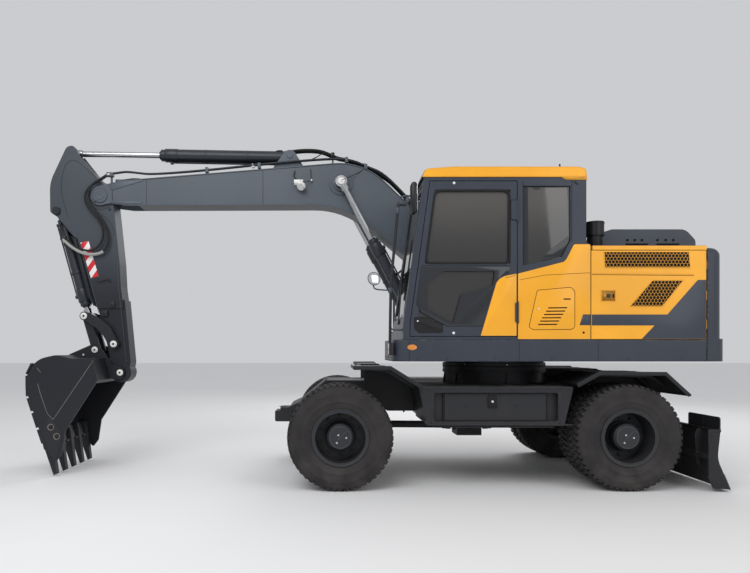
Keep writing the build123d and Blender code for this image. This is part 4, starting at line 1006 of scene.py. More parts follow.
# ---- tanks, step box and rails on the right -----------------------------------------------------
# Sheet steel tanks with fillers, a breather and a sight glass. The step box has grip treads and two
# latched covers, and tube rails stand round the climb.
dress(slate_skin, "right_tanks", "step_box")
dress(chassis_paint, "left_handrail", "left_mirror")
dress(deck_paint, "right_handrail")
right_amber = [plate(corners, -1245, 5) for corners in (
    [(-606, 1720), (-606, 2290), (-30, 2290), (-30, 2140), (-200, 1900), (-240, 1720)],
    [(-220, 1720), (-176, 1890), (0, 2135), (0, 2140), (410, 2140), (410, 1950), (180, 1720)])]
fixed(right_amber, "right_tank_panels", "house", amber_paint)
treads = [box((432, -1210, 1960), (698, -400, 1963), 1), box((706, -1210, 1760), (888, -400, 1763), 1),
          box((896, -1210, 1600), (1060, -400, 1603), 1), box((-606, -1236, 2299), (-30, -390, 2302), 1),
          box((0, -1236, 2149), (410, -390, 2152), 1)]
fixed(treads, "right_grip_treads", "house", grip_plate)
fillers = [turned([(0, 0), (0.060, 0), (0.060, 0.020), (0.052, 0.044), (0, 0.048)], place, UPWARD, 32)
           for place in ((-0.33, -0.62, 2.301), (0.21, -0.66, 2.151))]
caps = [ringed(box((x - 3, y + 44, z), (x + 3, y + 58, z + 30), 1), (x * MM, y * MM, 0), UPWARD, 10)
        for x, y, z in ((-330, -620, 2308), (210, -660, 2158))]
breather = [rod((60, -880, 2151), (60, -880, 2210), 24, 4), rod((60, -880, 2206), (60, -880, 2226), 34, 6)]
fixed(fillers + caps + breather, "tank_caps", "house", black_plastic)
straps = [rim(rectangle(452, 1050, 1490, 1580), -1219, 4, 10, 1),
          rim(rectangle(452, 870, 1600, 1740), -1219, 4, 10, 1),
          box((-17, -1243, 1476), (-13, -1238, 2290), 0.5)]
latches = [rod((640, -1215, 1670), (640, -1224, 1670), 18, 2),
           rod((760, -1215, 1535), (760, -1224, 1535), 18, 2)]
seat_bolts = [bolt((x, -1240, 1495), (0, -1, 0), 10, 6) for x in (-560, -320, -80, 60, 220, 380)]
fixed(straps + latches + seat_bolts, "tank_trim", "house", slate_paint)
gauge = joined([rod((330, -1240, 1560), (330, -1246, 1560), 16, 2),
                rod((330, -1240, 1690), (330, -1246, 1690), 16, 2),
                rod((330, -1243, 1560), (330, -1243, 1690), 6, 1)])
fixed(gauge, "oil_sight_gauge", "house", plated_steel)
rail_feet = [box((x - 45, -1195, z), (x + 45, -1105, z + 8), 2) for x, z in ((1035, 1600), (-300, 2300))]
rail_feet += [bolt((x + a, y, z + 8), UPWARD, 8, 7) for x, z in ((1035, 1600), (-300, 2300))
              for a in (-30, 30) for y in (-1180, -1120)]
rail_feet += [rod((800, -1150, 2550), (800, -1150, 1960), 12, 3),
              rod((430, -1150, 2550), (430, -1150, 2150), 12, 3)]
fixed(rail_feet, "right_rail_feet", "house", slate_paint)


# ---- slewing drive and valves -------------------------------------------------------------------
# Between the boom's plates stand the slewing motor on its gearbox and the main valve block, with the
# steel tails of the hoses that feed the boom.
MOTOR = (-0.20, -0.060, 0)
motor = [turned([(0, 1.302), (0.150, 1.302), (0.150, 1.330), (0.128, 1.345), (0.128, 1.470),
                 (0.138, 1.480), (0.138, 1.505), (0.100, 1.520), (0.092, 1.640), (0.070, 1.660), (0, 1.660)],
                MOTOR, UPWARD, 48), ringed(bolt((-62, -60, 1330), UPWARD, 9, 8), MOTOR, UPWARD, 12),
         ringed(bolt((-74, -60, 1505), UPWARD, 8, 8), MOTOR, UPWARD, 8)]
valve = [box((-610, -190, 1340), (-390, 70, 1620), 8)] + [
    box((-625, y, 1380), (-375, y + 34, 1600), 5) for y in (-180, -126, -72, -18, 36)]
valve += [rod((-500, y, 1600), (-500, y, 1668), 22, 3, 6) for y in (-163, -109, -55, -1, 53)]
fixed(motor + valve, "slewing_drive", "house", cast_iron)


# ---- cab shell and roof -------------------------------------------------------------------------
# A slate shell of welded sections with an amber lower rear panel and an amber moulded roof. The roof
# has a deeper rear fascia, pads over its fixings and a hatch with a black handle.
cab_paint = painted("cab_paint", (0.031, 0.038, 0.054), roughness=0.36, worn=0.2, round_edge=0.010)
dress(cab_paint, "cab_shell", "cab_door")
roof_amber = painted("roof_amber", AMBER, roughness=0.34, worn=0.1, coat=0.25, round_edge=0.03)
dress(roof_amber, "cab_roof")
fascia = [plate([(-588, 3052), (-330, 3052), (-384, 3014), (-586, 3014)], y, 5, 2) for y in (1244.5, 262)]
fascia += [box((-592, 266, 3014), (-583, 1246, 3056), 3)]
hatch = [box((-60, 480, 3138), (560, 1020, 3156), 10)]
fixed(fascia + hatch, "roof_trim", "house", roof_amber)
header = joined([plate([(1003.5, 3042), (974, 3112), (969, 3108), (999, 3040)], 268, 979, 1),
                 box((984, 264, 3035), (1003, 1250, 3041.5), 1)])
hatch_gear = [rod((480, 700, 3172), (480, 800, 3172), 8, 3), rod((480, 706, 3150), (480, 706, 3174), 7, 2),
              rod((480, 794, 3150), (480, 794, 3174), 7, 2)]
hatch_gear += [rod((x, y, 3130), (x, y, 3156), 10, 3) for x in (817, 227) for y in (350, 1160)]
hatch_gear += [rod((-357, 1160, 3130), (-357, 1160, 3192), 8, 2), header]
fixed(hatch_gear, "roof_hatch_gear", "house", black_plastic)
drip = [box((-586, y, 3042), (990, y + 5, 3050), 1.5) for y in (1243, 267)]
fixed(drip, "roof_drip_rail", "house", seal_rubber)

panel = plate([(76, 2110), (-365, 2224), (-392, 2250), (-462, 2388), (-478, 2394), (-608, 2394),
               (-623, 2384), (-623, 1478), (76, 1478)], 1244.4, 2.8, 1.3)
vent_shape = [(-107, 1952), (-436, 1981), (-474, 1942), (-474, 1595), (-445, 1570), (-69, 1566), (-26, 1595)]
vent = [plate(vent_shape, 1246.8, 1.8, 1.2, 14)]


def vent_lines(z, height, y, thick, edge):
    """Six slanting strips on the vent door, the lowest at z."""
    return [plate([(-117 - 19.4 * n, z + 32 * n), (-300 - 19.4 * n, z + 32 * n + 2),
                   (-300 - 19.4 * n, z + 32 * n + 2 + height), (-117 - 19.4 * n, z + 32 * n + height)],
                  y, thick, edge) for n in range(6)]


slats = vent_lines(1626, 7, 1248, 1.6, 0.6)
fixed([panel] + vent + slats, "cab_rear_panel", "house", amber_paint)
slots = vent_lines(1613, 11, 1248.2, 0.8, 0.2)
slots += [rim(vent_shape, 1248.3, 0.8, 5, 0.3, 14)]
slots += [plate(rectangle(-432, -362, 1858, 1871), 1248.4, 0.8, 0.3, 5),
          rod((-557, 1246, 1541), (-557, 1248.2, 1541), 11, 0.5)]
slots += [plate([(-620, 2120), (-186, 2098), (40, 2056), (60, 2051), (60, 2047), (40, 2052), (-186, 2094),
                 (-620, 2116)], 1246.9, 0.7, 0.2)]
fixed(slots, "cab_panel_shadows", "house", recess_shade_paint)
cab_skin = plate([(-551, 1717), (-623, 1717), (-623, 1612), (-517, 1612)], 1246.8, 1.2, 0.6)
fixed(cab_skin, "cab_panel_skin", "house", slate_skin)
vent_key = rod((-124, 1248.4, 1770), (-124, 1249.8, 1770), 9, 0.5)
fixed(vent_key, "vent_door_key", "house", plated_steel)
oval = [(math.cos(n * 0.5236), math.sin(n * 0.5236)) for n in range(12)]
pillar_catch = plate([(-484 + 22 * c + 12 * s, 2985 + 16 * s + 10 * c) for c, s in oval], 1244.6, 4.5, 1)
fixed(pillar_catch, "pillar_catch", "house", black_plastic)
# Painted shadow: near-black lines along the pillars' seams.
pillar_lines = [box((24, 1244.6, 2195), (29, 1245.6, 3006), 0.3),
                box((-446, 1244.6, 2420), (-441, 1245.6, 3006), 0.3),
                box((-584, 1244.6, 2400), (-581, 1245.4, 3036), 0.3)]
fixed(pillar_lines, "pillar_seams", "house", seam_shadow_paint)


# ---- cab door -----------------------------------------------------------------------------------
# The door has an amber lower rear corner, a rubber-framed upper pane and a lower pane with a dark
# printed border. A black cup holds the handle, and two black hinges carry it at the rear.
def carved(piece, cutter):
    """The piece with the cutter's shape taken out."""
    pick(piece)
    cut = piece.modifiers.new("cut", "BOOLEAN")
    cut.operation = "DIFFERENCE"
    cut.solver = "EXACT"
    cut.object = cutter
    bpy.ops.object.modifier_apply(modifier="cut")
    bpy.data.objects.remove(cutter)
    return piece


smoked = Finish("smoked_glass")
smear = smoked.noise(3.0, 4.0)
height = smoked.step(smoked.axes()[2], 2.25, 2.98)
dusk = smoked.mix(height + smear * 0.1, (0.020, 0.019, 0.018), (0.075, 0.070, 0.065))
smoked_glass = smoked.set(Base_Color=dusk, Roughness=smoked.step(smear, 0.3, 0.8) * 0.05 + 0.02, Alpha=0.94,
                          Coat_Weight=0.4, Coat_Roughness=0.02, Specular_IOR_Level=0.6)
dress(smoked_glass, "cab_glass", "cab_door_glass")
printed_border = mottled("printed_border", (700.0, 0.0), (0.013, 0.015, 0.019), (0.018, 0.021, 0.027),
                         (0.06, 0.12), Coat_Weight=0.4, Coat_Roughness=0.04, Specular_IOR_Level=0.35)

swoosh = plate([(436, 1510), (283, 2024), (250, 2062), (205, 2086), (90, 2110), (90, 1510)], 1244.4, 3,
               1.3, 8)
fixed(swoosh, "door_amber_panel", "cab_door", amber_paint)
# Painted shade: a near-black line in the crease above the amber panel.
door_line = plate([(196, 2070), (100, 2096), (100, 2092), (196, 2066)], 1246.9, 0.7, 0.2)
fixed(door_line, "door_panel_crease", "cab_door", recess_shade_paint)
gasket = rim([(146, 2200), (146, 2925), (885, 2925), (982, 2200)], 1241, 6.5, 22, 2, 66)
fixed(gasket, "door_upper_gasket", "cab_door", seal_rubber)
lower = plate([(1002, 2176), (1052, 1817), (1012, 1742), (760, 1604), (416, 1604), (292, 2028), (256, 2070),
               (209, 2094), (160, 2106), (160, 2176)], 1244.2, 2.6, 0.8, 6)
clear_zone = plate([(952, 2029), (800, 2132), (300, 2132), (318, 2004), (362, 1981), (626, 1913),
                    (703, 1634), (952, 1778)], 1235, 20, 0.0001, 10)
fixed(carved(lower, clear_zone), "door_lower_border", "cab_door", printed_border)
lines = [pulled(outline(line, 1244.6), (0, 0.0012, 0))
         for line in ([(1059, 1818), (1009, 2180), (1004, 2180), (1054, 1818)],
                      [(1059, 1818), (1054, 1818), (1011, 1744), (759, 1604), (416, 1604), (416, 1599),
                       (760, 1599), (1015, 1740)])]
lines.insert(0, box((150, 1244.6, 2184), (1000, 1245.9, 2190), 0.4))
fixed(lines, "door_lower_gasket", "cab_door", seal_rubber)
cup_shape = [(1079, 1691), (954, 1691), (800, 1614), (800, 1537), (1031, 1537), (1079, 1576)]
cup = [plate(cup_shape, 1244.6, 1.6, 0.8, 14)]
cup += [rim(cup_shape, 1246, 2.6, 9, 1.2, 14)]
cup += [plate([(1062, 1668), (1000, 1664), (815, 1588), (815, 1560), (850, 1556), (1040, 1640)], 1247, 4.5,
              2, 8)]
cup += [rod((79, 1255, 1631), (79, 1255, 1840), 8.02, 1)]
fixed(cup, "door_handle_cup", "cab_door", black_plastic)
white = painted("white_caps", (0.72, 0.72, 0.70), roughness=0.4, dust=0.1, worn=0.0)
caps = [rod((x, 1244.5, z), (x, 1249, z), 13, 2) for x, z in ((693, 2985), (697, 1537))]
caps += [rod((1044, 1248, 1652), (1044, 1252.5, 1652), 8, 1)]
fixed(caps, "door_screw_caps", "cab_door", white)
hinge = [box((98, 1244, 2632), (141, 1252, 2815), 3)]
hinge += [rod((79, 1255, z), (79, 1255, z + 16), 8, 2, 16) for z in (2825, 2606)]
fixed(hinge, "door_upper_hinge", "cab_door", cab_paint)
# Painted shade: near-black strips in the gaps round the upper hinge.
hinge_gap = [box((141, 1244.4, 2628), (144.5, 1245.6, 2820), 0.3),
             box((98, 1244.4, 2819), (144, 1245.6, 2823), 0.3),
             box((98, 1244.4, 2624), (144, 1245.6, 2628), 0.3)]
fixed(hinge_gap, "door_hinge_gaps", "cab_door", seam_shadow_paint)


# ---- windows, wiper and mirrors -----------------------------------------------------------------
# Fixed smoked panes with printed borders. A wiper parks on the windscreen, a tall mirror hangs on
# the grab rail, and a round one looks down at the front wheel.
quarter = plate([(20, 2194), (20, 2954), (-428, 2954), (-428, 2432), (-348, 2274)], 1230.3, 1.2, 0.4)
quarter_clear = plate([(-24, 2944), (-66, 2946), (-86, 2926), (-128, 2922), (-150, 2944), (-398, 2944),
                       (-408, 2936), (-420, 2480), (-212, 2322), (-158, 2230), (-30, 2204)], 1220, 30,
                      0.0001, 4)
fixed(carved(quarter, quarter_clear), "quarter_border", "house", printed_border)
right_border = rim([(-476, 2104), (-476, 2946), (856, 2946), (974, 2104)], 283.5, 1.2, 34, 0.4, 10)
rear_glass = drawn([(374, 2484), (1141, 2484), (1141, 2956), (374, 2956)],
                   lambda y, z: (-568.8 * MM, y * MM, z * MM))
rear_border = eased(pulled(hollowed(rear_glass, 0.03), (-0.0012, 0, 0)), 0.0003)
SCREEN_TILT = Vector((984.0 - 1185.0, 0, 3040.0 - 1620.0)).normalized()
SCREEN_OUT = Vector((SCREEN_TILT.z, 0, -SCREEN_TILT.x))


def on_screen(y, rise, out=0.0):
    """A place on the windscreen's outer face: across, up the slope, and out from it, in millimetres."""
    foot = Vector((1168.5, 0, 1691.0))
    return (foot + Vector((0, y, 0)) + SCREEN_TILT * rise + SCREEN_OUT * out) * MM


screen = drawn([(330, 6), (1186, 6), (1186, 1288), (330, 1288)], lambda y, rise: on_screen(y, rise, 1))
screen = eased(pulled(hollowed(screen, 0.035), SCREEN_OUT * 0.0012), 0.0003)
fixed([right_border, rear_border, screen], "window_borders", "house", printed_border)


def bar_on_screen(start, end, radius):
    a, b = on_screen(*start) / MM, on_screen(*end) / MM
    return rod(a, b, radius, 2, 12)


wiper = [bar_on_screen((860, -40, 14), (640, 520, 26), 7),
         bar_on_screen((640, 210, 18), (640, 860, 18), 6), bar_on_screen((860, -40, -2), (860, -40, 22), 20),
         bar_on_screen((640, 520, 14), (640, 520, 30), 12), bar_on_screen((640, 215, 8), (640, 855, 8), 4)]
fixed(wiper, "screen_wiper", "house", black_plastic)


def path(points, kind):
    """A path with one spline, on points in metres."""
    deselect()
    bpy.ops.curve.primitive_nurbs_path_add()
    guide = bpy.context.object
    guide.data.splines.clear()
    spline = guide.data.splines.new(kind)
    spline.points.add(len(points) - 1)
    for knot, point in zip(spline.points, points):
        knot.co = (*point, 1)
    return guide


def smooth_path(points, steps):
    """A path on a NURBS spline that points in millimetres control."""
    guide = path([[c * MM for c in point] for point in points], "NURBS")
    spline = guide.data.splines[0]
    spline.order_u = 3
    spline.use_endpoint_u = True
    spline.resolution_u = steps
    return guide


def thickened(guide, radius):
    """A path as a round tube."""
    guide.data.bevel_depth = radius * MM
    guide.data.bevel_resolution = 2
    guide.data.use_fill_caps = True
    bpy.ops.object.convert(target="MESH")
    return tidied(bpy.context.object, 0.00005)


def pipe(points, radius):
    """A bent tube whose smooth line is led by the points, in millimetres."""
    return thickened(smooth_path(points, 5), radius)


def led(points, steps=6):
    """Points in metres along the NURBS spline that a route in millimetres controls."""
    guide = smooth_path(points, steps)
    line = [corner.co.copy() for corner in bpy.data.meshes.new_from_object(guide).vertices]
    bpy.data.objects.remove(guide)
    return line


def tube(line, radius):
    """A round tube along a line of points in metres."""
    return thickened(path(line, "POLY"), radius)


bracket = [pipe([(1298, 1180, 1600), (1296, 1182, 1574), (1262, 1186, 1570), (1215, 1190, 1570),
                 (1182, 1190, 1570)], 9),
           pipe([(1302, 1180, 1955), (1330, 1180, 1956), (1400, 1180, 1960), (1446, 1180, 1966),
                 (1468, 1180, 1984), (1466, 1182, 2030)], 7),
           pipe([(1225, 1180, 2808), (1222, 1178, 2850), (1196, 1168, 2876), (1100, 1165, 2880)], 9)]
bracket += [box((1172, 1172, 1552), (1190, 1208, 1590), 3),
            rod((1304, 1180, 1930), (1302, 1180, 1980), 19, 3),
            rod((1236, 1180, 2700), (1228, 1180, 2760), 19, 3)]
fixed(bracket, "rail_brackets", "house", slate_paint)
round_axis = Vector((-0.30, 0.94, 0.12)).normalized()
ROUND_MIRROR = (1.462, 1.185, 2.067)
round_mirror = turned([(0, -0.030), (0.030, -0.026), (0.058, -0.010), (0.066, 0.0), (0.066, 0.006),
                       (0.060, 0.004), (0, 0.004)], ROUND_MIRROR, round_axis, 40)
fixed(round_mirror, "round_mirror_shell", "house", black_plastic)
mirror_glass = mottled("mirror_glass", (8.0, 3.0), (0.62, 0.64, 0.66), (0.72, 0.74, 0.76), (0.05, 0.03),
                       Metallic=1.0)
face = turned([(0, 0.004), (0.060, 0.0035), (0.060, 0.0045), (0.045, 0.0085), (0.025, 0.0115), (0, 0.0125)],
              ROUND_MIRROR, round_axis, 40)
fixed(face, "round_mirror_glass", "house", mirror_glass)
shell = box((1046, 1092, 2702), (1102, 1238, 3008), 24)
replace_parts(fixed(shell, "tall_mirror_shell", "house", black_plastic), "left_mirror")
tall_glass = box((1043.5, 1102, 2716), (1047, 1228, 2994), 1.2)
fixed(tall_glass, "tall_mirror_glass", "house", mirror_glass)
lamp_box = box((1281, 1132, 1322), (1317, 1218, 1443), 8)
fixed(lamp_box, "rail_foot_box", "house", black_plastic)
front_lamp = box((1316, 1140, 1380), (1320, 1210, 1436), 1.5)
fixed(front_lamp, "front_lamp_lens", "house", clear_lens)
front_turn = box((1316, 1140, 1330), (1320, 1210, 1372), 1.5)
fixed(front_turn, "front_turn_lens", "house", amber_lens)


# ---- operator's seat and controls ---------------------------------------------------------------
# Three foam cushions in woven cloth on a sprung base, with piped seams. Consoles each side carry the
# control levers with rubber boots, and a display stands by the right pillar.
cloth = Finish("seat_cloth")
x, y, z = cloth.axes()
warp = cloth.step(((x + z) * 260.0) % 1.0, 0.2, 0.8)
weft = cloth.step((y * 260.0) % 1.0, 0.2, 0.8)
fade = cloth.noise(4.0, 4.0)
seat_cloth = cloth.set(Base_Color=cloth.mix(fade * 0.6 + warp * weft * 0.4, (0.030, 0.031, 0.034),
                                            (0.062, 0.063, 0.067)), Roughness=fade * 0.1 + 0.82,
                       Sheen_Weight=0.25, Normal=cloth.bump(warp + weft, 0.0006))


def cushion(name, points, y_low, y_high, cap):
    """Foam in cloth: the shape is drawn in from its full size, then its cover is blown up against it."""
    pad = plate(points, y_low, y_high - y_low, 26)
    pick(pad)
    even = pad.modifiers.new("even", "REMESH")
    even.mode = "VOXEL"
    even.voxel_size = 0.010
    bpy.ops.object.modifier_apply(modifier="even")
    start = [corner.co.copy() for corner in pad.data.vertices]
    foam = pad.modifiers.new("foam", "CLOTH")
    foam.settings.use_pressure = True
    foam.settings.uniform_pressure_force = 4.0
    foam.settings.effector_weights.gravity = 0
    for step in range(1, 21):
        bpy.context.scene.frame_set(step)
    bpy.ops.object.modifier_apply(modifier="foam")
    for corner, rest in zip(pad.data.vertices, start):
        move = corner.co - rest
        if move.length > cap:
            corner.co = rest + move * (cap / move.length)
    smooth = pad.modifiers.new("smooth", "SMOOTH")
    smooth.iterations = 4
    bpy.ops.object.modifier_apply(modifier="smooth")
    fixed(pad, name, "house", seat_cloth, 180)


cushion("seat_cushion", [(-104, 1774), (-92, 1850), (405, 1866), (405, 1800), (322, 1774)], 524, 986, 0.012)
cushion("back_cushion", [(-236, 1815), (-80, 1815), (-150, 2546), (-256, 2546)], 534, 976, 0.014)
cushion("head_cushion", [(-280, 2592), (-288, 2748), (-202, 2748), (-192, 2592)], 634, 876, 0.010)
base = [box((-58, 562, 1526), (328, 948, 1600), 12), box((-30, 590, 1690), (310, 920, 1762), 10)]
base += [box((-40, 572, 1598 + 16 * n), (310, 938, 1608 + 16 * n), 4) for n in range(6)]
base += [rod((-235, 755 + dy, 2530), (-238, 755 + dy, 2610), 6, 1, 12) for dy in (-50, 50)]
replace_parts(fixed(base, "seat_base", "house", black_plastic), "operator_chair")
piping = [pipe([(-90, y, 1862), (100, y, 1872), (300, y, 1878), (404, y, 1866)], 4) for y in (560, 950)]
piping += [pipe([(-84, y, 1850), (-110, y, 2100), (-132, y, 2350), (-150, y, 2520)], 4) for y in (600, 910)]
fixed(piping, "seat_piping", "house", seal_rubber)
boots = [turned([(0, 2.045), (0.046, 2.045), (0.040, 2.058), (0.044, 2.066), (0.034, 2.078), (0.036, 2.086),
                 (0.024, 2.100), (0, 2.100)], (0.402, y, 0), UPWARD, 24) for y in (0.442, 1.067)]
display = [box((760, 330, 1960), (800, 520, 2130), 8), rod((790, 360, 1640), (780, 400, 1980), 12, 3)]
pedals = [box((930, y, 1540), (1060, y + 90, 1556), 4) for y in (560, 830)]
pedals += [rod((960, y + 45, 1550), (930, y + 45, 1760), 9, 2) for y in (560, 830)]
fixed(boots + display + pedals, "control_trim", "house", seal_rubber)
mat = box((-560, 330, 1525), (1120, 1190, 1531), 2)
fixed(mat, "cab_floor_mat", "house", seal_rubber)
screen_face = box((755, 342, 1975), (760.5, 508, 2118), 1)
fixed(screen_face, "display_face", "house", printed_border)


# ---- boom ---------------------------------------------------------------------------------------
# A welded box boom with a cast tip and pin bosses. Top and bottom plates stand a little past the side
# plates, a butt weld crosses each side, and every pin has a keeper or a cap.
boom_paint = painted("boom_paint", (0.072, 0.088, 0.108), roughness=0.40, dust=0.05, worn=0.25,
                     round_edge=0.006)
weld_paint = painted("weld_bead", (0.020, 0.024, 0.030), roughness=0.5, worn=0.1)
cylinder_paint = painted("cylinder_paint", (0.022, 0.026, 0.034), roughness=0.34, worn=0.2)
dress(boom_paint, "boom")
dress(cylinder_paint, "boom_barrels", "arm_barrel", "bucket_barrel")
MIDDLE_Y = -60
BOOM_SIDES = (MIDDLE_Y - 150, MIDDLE_Y + 150)


def rounded(rows, steps=8):
    """Side-view corners from (x, z) or (x, z, radius) rows, each radius drawn as an arc."""
    corners = []
    for n, row in enumerate(rows):
        here = Vector(row[:2])
        if len(row) < 3 or n in (0, len(rows) - 1):
            corners.append(tuple(here))
            continue
        back = (Vector(rows[n - 1][:2]) - here).normalized()
        on = (Vector(rows[n + 1][:2]) - here).normalized()
        half = back.angle(on) / 2
        reach = row[2] / math.tan(half)
        middle = here + (back + on).normalized() * (row[2] / math.sin(half))
        a, b = here + back * reach - middle, here + on * reach - middle
        turn = a.angle_signed(b)
        for step in range(steps + 1):
            angle = -turn * step / steps
            corners.append((middle.x + a.x * math.cos(angle) - a.y * math.sin(angle),
                            middle.y + a.x * math.sin(angle) + a.y * math.cos(angle)))
    return corners


def strip(line, y, thick, wide):
    """A thin band along an open side-view line: wide millimetres to one side of it, thick along Y."""
    ways = [(Vector(b) - Vector(a)).normalized() for a, b in zip(line, line[1:])]
    ways = [ways[0]] + [(a + b).normalized() for a, b in zip(ways, ways[1:])] + [ways[-1]]
    inner = [(p[0] + way.y * wide, p[1] - way.x * wide) for p, way in zip(line, ways)]
    return pulled(outline(list(line) + inner[::-1], y), (0, thick * MM, 0))


TOP_LINE = rounded([(4262, 3316), (1507, 3539, 750), (330, 2402, 300), (10, 2000)])
BOTTOM_LINE = rounded([(4218, 3028), (1735, 3036, 923), (500, 2005, 300), (190, 1806)])
flanges = []
for y, way in zip(BOOM_SIDES, (-1, 1)):
    low = y - 4 if way < 0 else y
    flanges += [strip(TOP_LINE, low, 4, -11), strip(BOTTOM_LINE, low, 4, 11)]
fixed(flanges, "boom_flanges", "boom", boom_paint)
beads = []
for y, way in zip(BOOM_SIDES, (-1, 1)):
    low = y - (1.6 if way < 0 else 0)
    beads.append(strip([(x + 6.3, z - 9) if x < 1600 else (x, z - 11) for x, z in TOP_LINE], low, 1.6, -5))
    beads += [plate(rectangle(*butt_weld), low, 1.6, 0.5)
              for butt_weld in ((2655, 2660, 3050, 3432), (3990, 3994, 3048, 3322),
                                (4379, 4385, 3085, 3262))]
fixed(beads, "boom_welds", "boom", weld_paint)


def ring(profile, centre, y, way=1, steps=48):
    """Turned about Y at a side-view centre: (radius, depth) rows in millimetres, out from a face at y."""
    return turned([(r * MM, d * MM * way) for r, d in profile], (centre[0] * MM, y * MM, centre[1] * MM),
                  LEFTWARD, steps)


ARM_PIN, HEAD_PIN = (4522, 3141), (1762, 3280)
bosses = []
for y, way in zip(BOOM_SIDES, (-1, 1)):
    bosses.append(ring([(128, 0), (140, 0), (137, 6), (128, 8)], HEAD_PIN, y, way))
    bosses.append(ring([(40, 10), (96, 10), (96, 22), (90, 26), (40, 26)], HEAD_PIN, y, way))
    bosses.append(ring([(48, 0), (82, 0), (82, 8), (77, 12), (48, 12)], ARM_PIN, y, way))
    bosses.append(ring([(20, 11), (52, 11), (48, 15), (20, 15)], ARM_PIN, y, way, 24))
    bosses += [plate([(4500, 3118), (4585, 3060), (4600, 3078), (4515, 3140)], y + (6 if way > 0 else -14),
                     8, 2, 6), bolt((4580, y + way * 12, 3080), (0, way, 0), 9, 7)]
    edge = y - 5 if way < 0 else y
    top_flange = [(4250, 3306), (4034, 3322), (4034, 3306), (4372, 3202), (4400, 3205), (4420, 3270)]
    bosses.append(plate(top_flange, edge, 5, 2))
    bosses.append(plate([(4400, 3060), (4385, 3085), (4060, 3072), (4040, 3046), (4225, 3040)], edge, 5, 2))
fixed(bosses, "boom_bosses", "boom", boom_paint)
caps = [ring([(0, 0), (40, 0), (40, 8), (35, 12), (0, 12)], HEAD_PIN, y, way, 32)
        for y, way in ((197, 1), (-317, -1))]
fixed(caps, "boom_head_caps", "boom", white)


# ---- boom pipes and lamp ------------------------------------------------------------------------
# Rigid steel lines run along the top of the boom in clamps. Short rubber hoses arch from them to the
# arm cylinder, and a work lamp hangs on the left side with its cable.
hose_black = mottled("hose_rubber", (300.0, 2.0), (0.009, 0.009, 0.010), (0.020, 0.020, 0.021),
                     (0.15, 0.42), 0.0005, Specular_IOR_Level=0.25)


def over_boom(x, rise):
    """The height of a point above the boom's top plate."""
    for (xa, za), (xb, zb) in zip(TOP_LINE, TOP_LINE[1:]):
        if xb <= x <= xa:
            return za + (zb - za) * (x - xa) / (xb - xa) + rise
    return TOP_LINE[-1][1] + rise


steel_lines = []
for y, tip_y in ((52, 84), (84, 108), (-176, -204), (-204, -228)):
    route = [(4395, tip_y, 3388), (4290, tip_y, 3402), (4214, tip_y, 3412), (4090, tip_y, 3398),
             (3930, tip_y, 3380), (3388, y, 3428), (2778, y, 3492)]
    route += [(2186, y, 3548), (1775, y, 3572), (1600, y, 3540), (1480, y, 3482), (1314, y, 3420),
              (1180, y, 3310), (990, y, 3110), (760, y, 2870), (600, y, 2720)]
    steel_lines.append(tube(led(route), 10))
fixed(steel_lines, "boom_steel_lines", "boom", cylinder_paint)
clamps = []
for x, rise in ((3300, 60), (2700, 62), (1700, 62), (1480, 44), (1000, 62), (760, 62)):
    z = over_boom(x, rise)
    for y in (68, -190):
        clamps.append(box((x - 18, y - 36, z - 52), (x + 18, y + 36, z + 10), 4))
        clamps += [bolt((x, y, z + 9), UPWARD, 8, 8)]
for y, way in ((96, 1), (-216, -1)):
    clamps += [box((4362, y - 26, 3352), (4442, y + 26, 3402), 6),
               rod((4390, y - way * 12, 3270), (4390, y - way * 12, 3360), 13, 3)]
fixed(clamps, "boom_pipe_clamps", "boom", boom_paint)
arches = [tube(led([(2433, y, 3666), (2300, y, 3690), (2137, y, 3700), (1989, y, 3688), (1857, y, 3632),
                    (1791, y, 3603), (1694, y, 3590), (1498, y, 3514), (1380, y, 3462), (1199, y, 3353),
                    (1003, y, 3150), (888, y, 2990), (640, y, 2745)]), 14) for y in (-20, -62, -104)]
arches += [tube(led([(2437, y, 3680), (2500, y, 3690), (2535, y, 3655), (2480, y, 3600)]), 12)
           for y in (-20, -104)]
arches.append(tube(led([(2180, -20, 3560), (2060, -10, 3596), (1960, -15, 3672), (1900, -20, 3650)]), 6))
fixed(arches, "boom_hose_arches", "boom", hose_black)
arch_clamps = [box((x - 20, -130, z - 26), (x + 20, 8, z + 22), 4)
               for x, z in ((1857, 3640), (1498, 3512), (1010, 3150))]
arch_clamps += [rod((x, -60, z - 110), (x, -60, z - 20), 9, 2) for x, z in ((1857, 3640), (1498, 3512))]
fixed(arch_clamps, "boom_arch_clamps", "boom", black_plastic)
grease = [tube(led([(1762, 208, 3280), (1730, 214, 3300), (1680, 150, 3335), (1600, 110, 3380),
                    (1500, 84, 3440), (1484, 80, 3470)]), 4)]
grease += [tube(led([(2290, 100, 3418), (2302, 112, 3380), (2300, 140, 3330), (2262, 170, 3303)]), 6),
           tube(led([(2112, 96, 3440), (2104, 108, 3360), (2110, 130, 3300), (2180, 170, 3268),
                     (2230, 176, 3290)]), 4)]
fixed(grease, "boom_small_lines", "boom", hose_black)
fittings = [rod((1762, 205, 3280), (1762, 216, 3280), 9, 1), rod((2760, 68, 3470), (2790, 68, 3500), 20, 3),
            rod((2106, 96, 3312), (2106, 122, 3312), 14, 2)]
lamp_stay = [box((2196, 90, 3262), (2296, 98, 3322), 2), box((2206, 96, 3286), (2246, 170, 3294), 2),
             box((2200, 166, 3262), (2298, 178, 3302), 3)]
WORK_LAMP, LAMP_AIM = (2.220, 0.172, 3.222), Vector((0.35, 0.75, -0.55)).normalized()
lamp_shell = turned([(0, -0.060), (0.030, -0.058), (0.048, -0.030), (0.050, 0.0), (0.044, 0.006),
                     (0, 0.006)], WORK_LAMP, LAMP_AIM, 32)
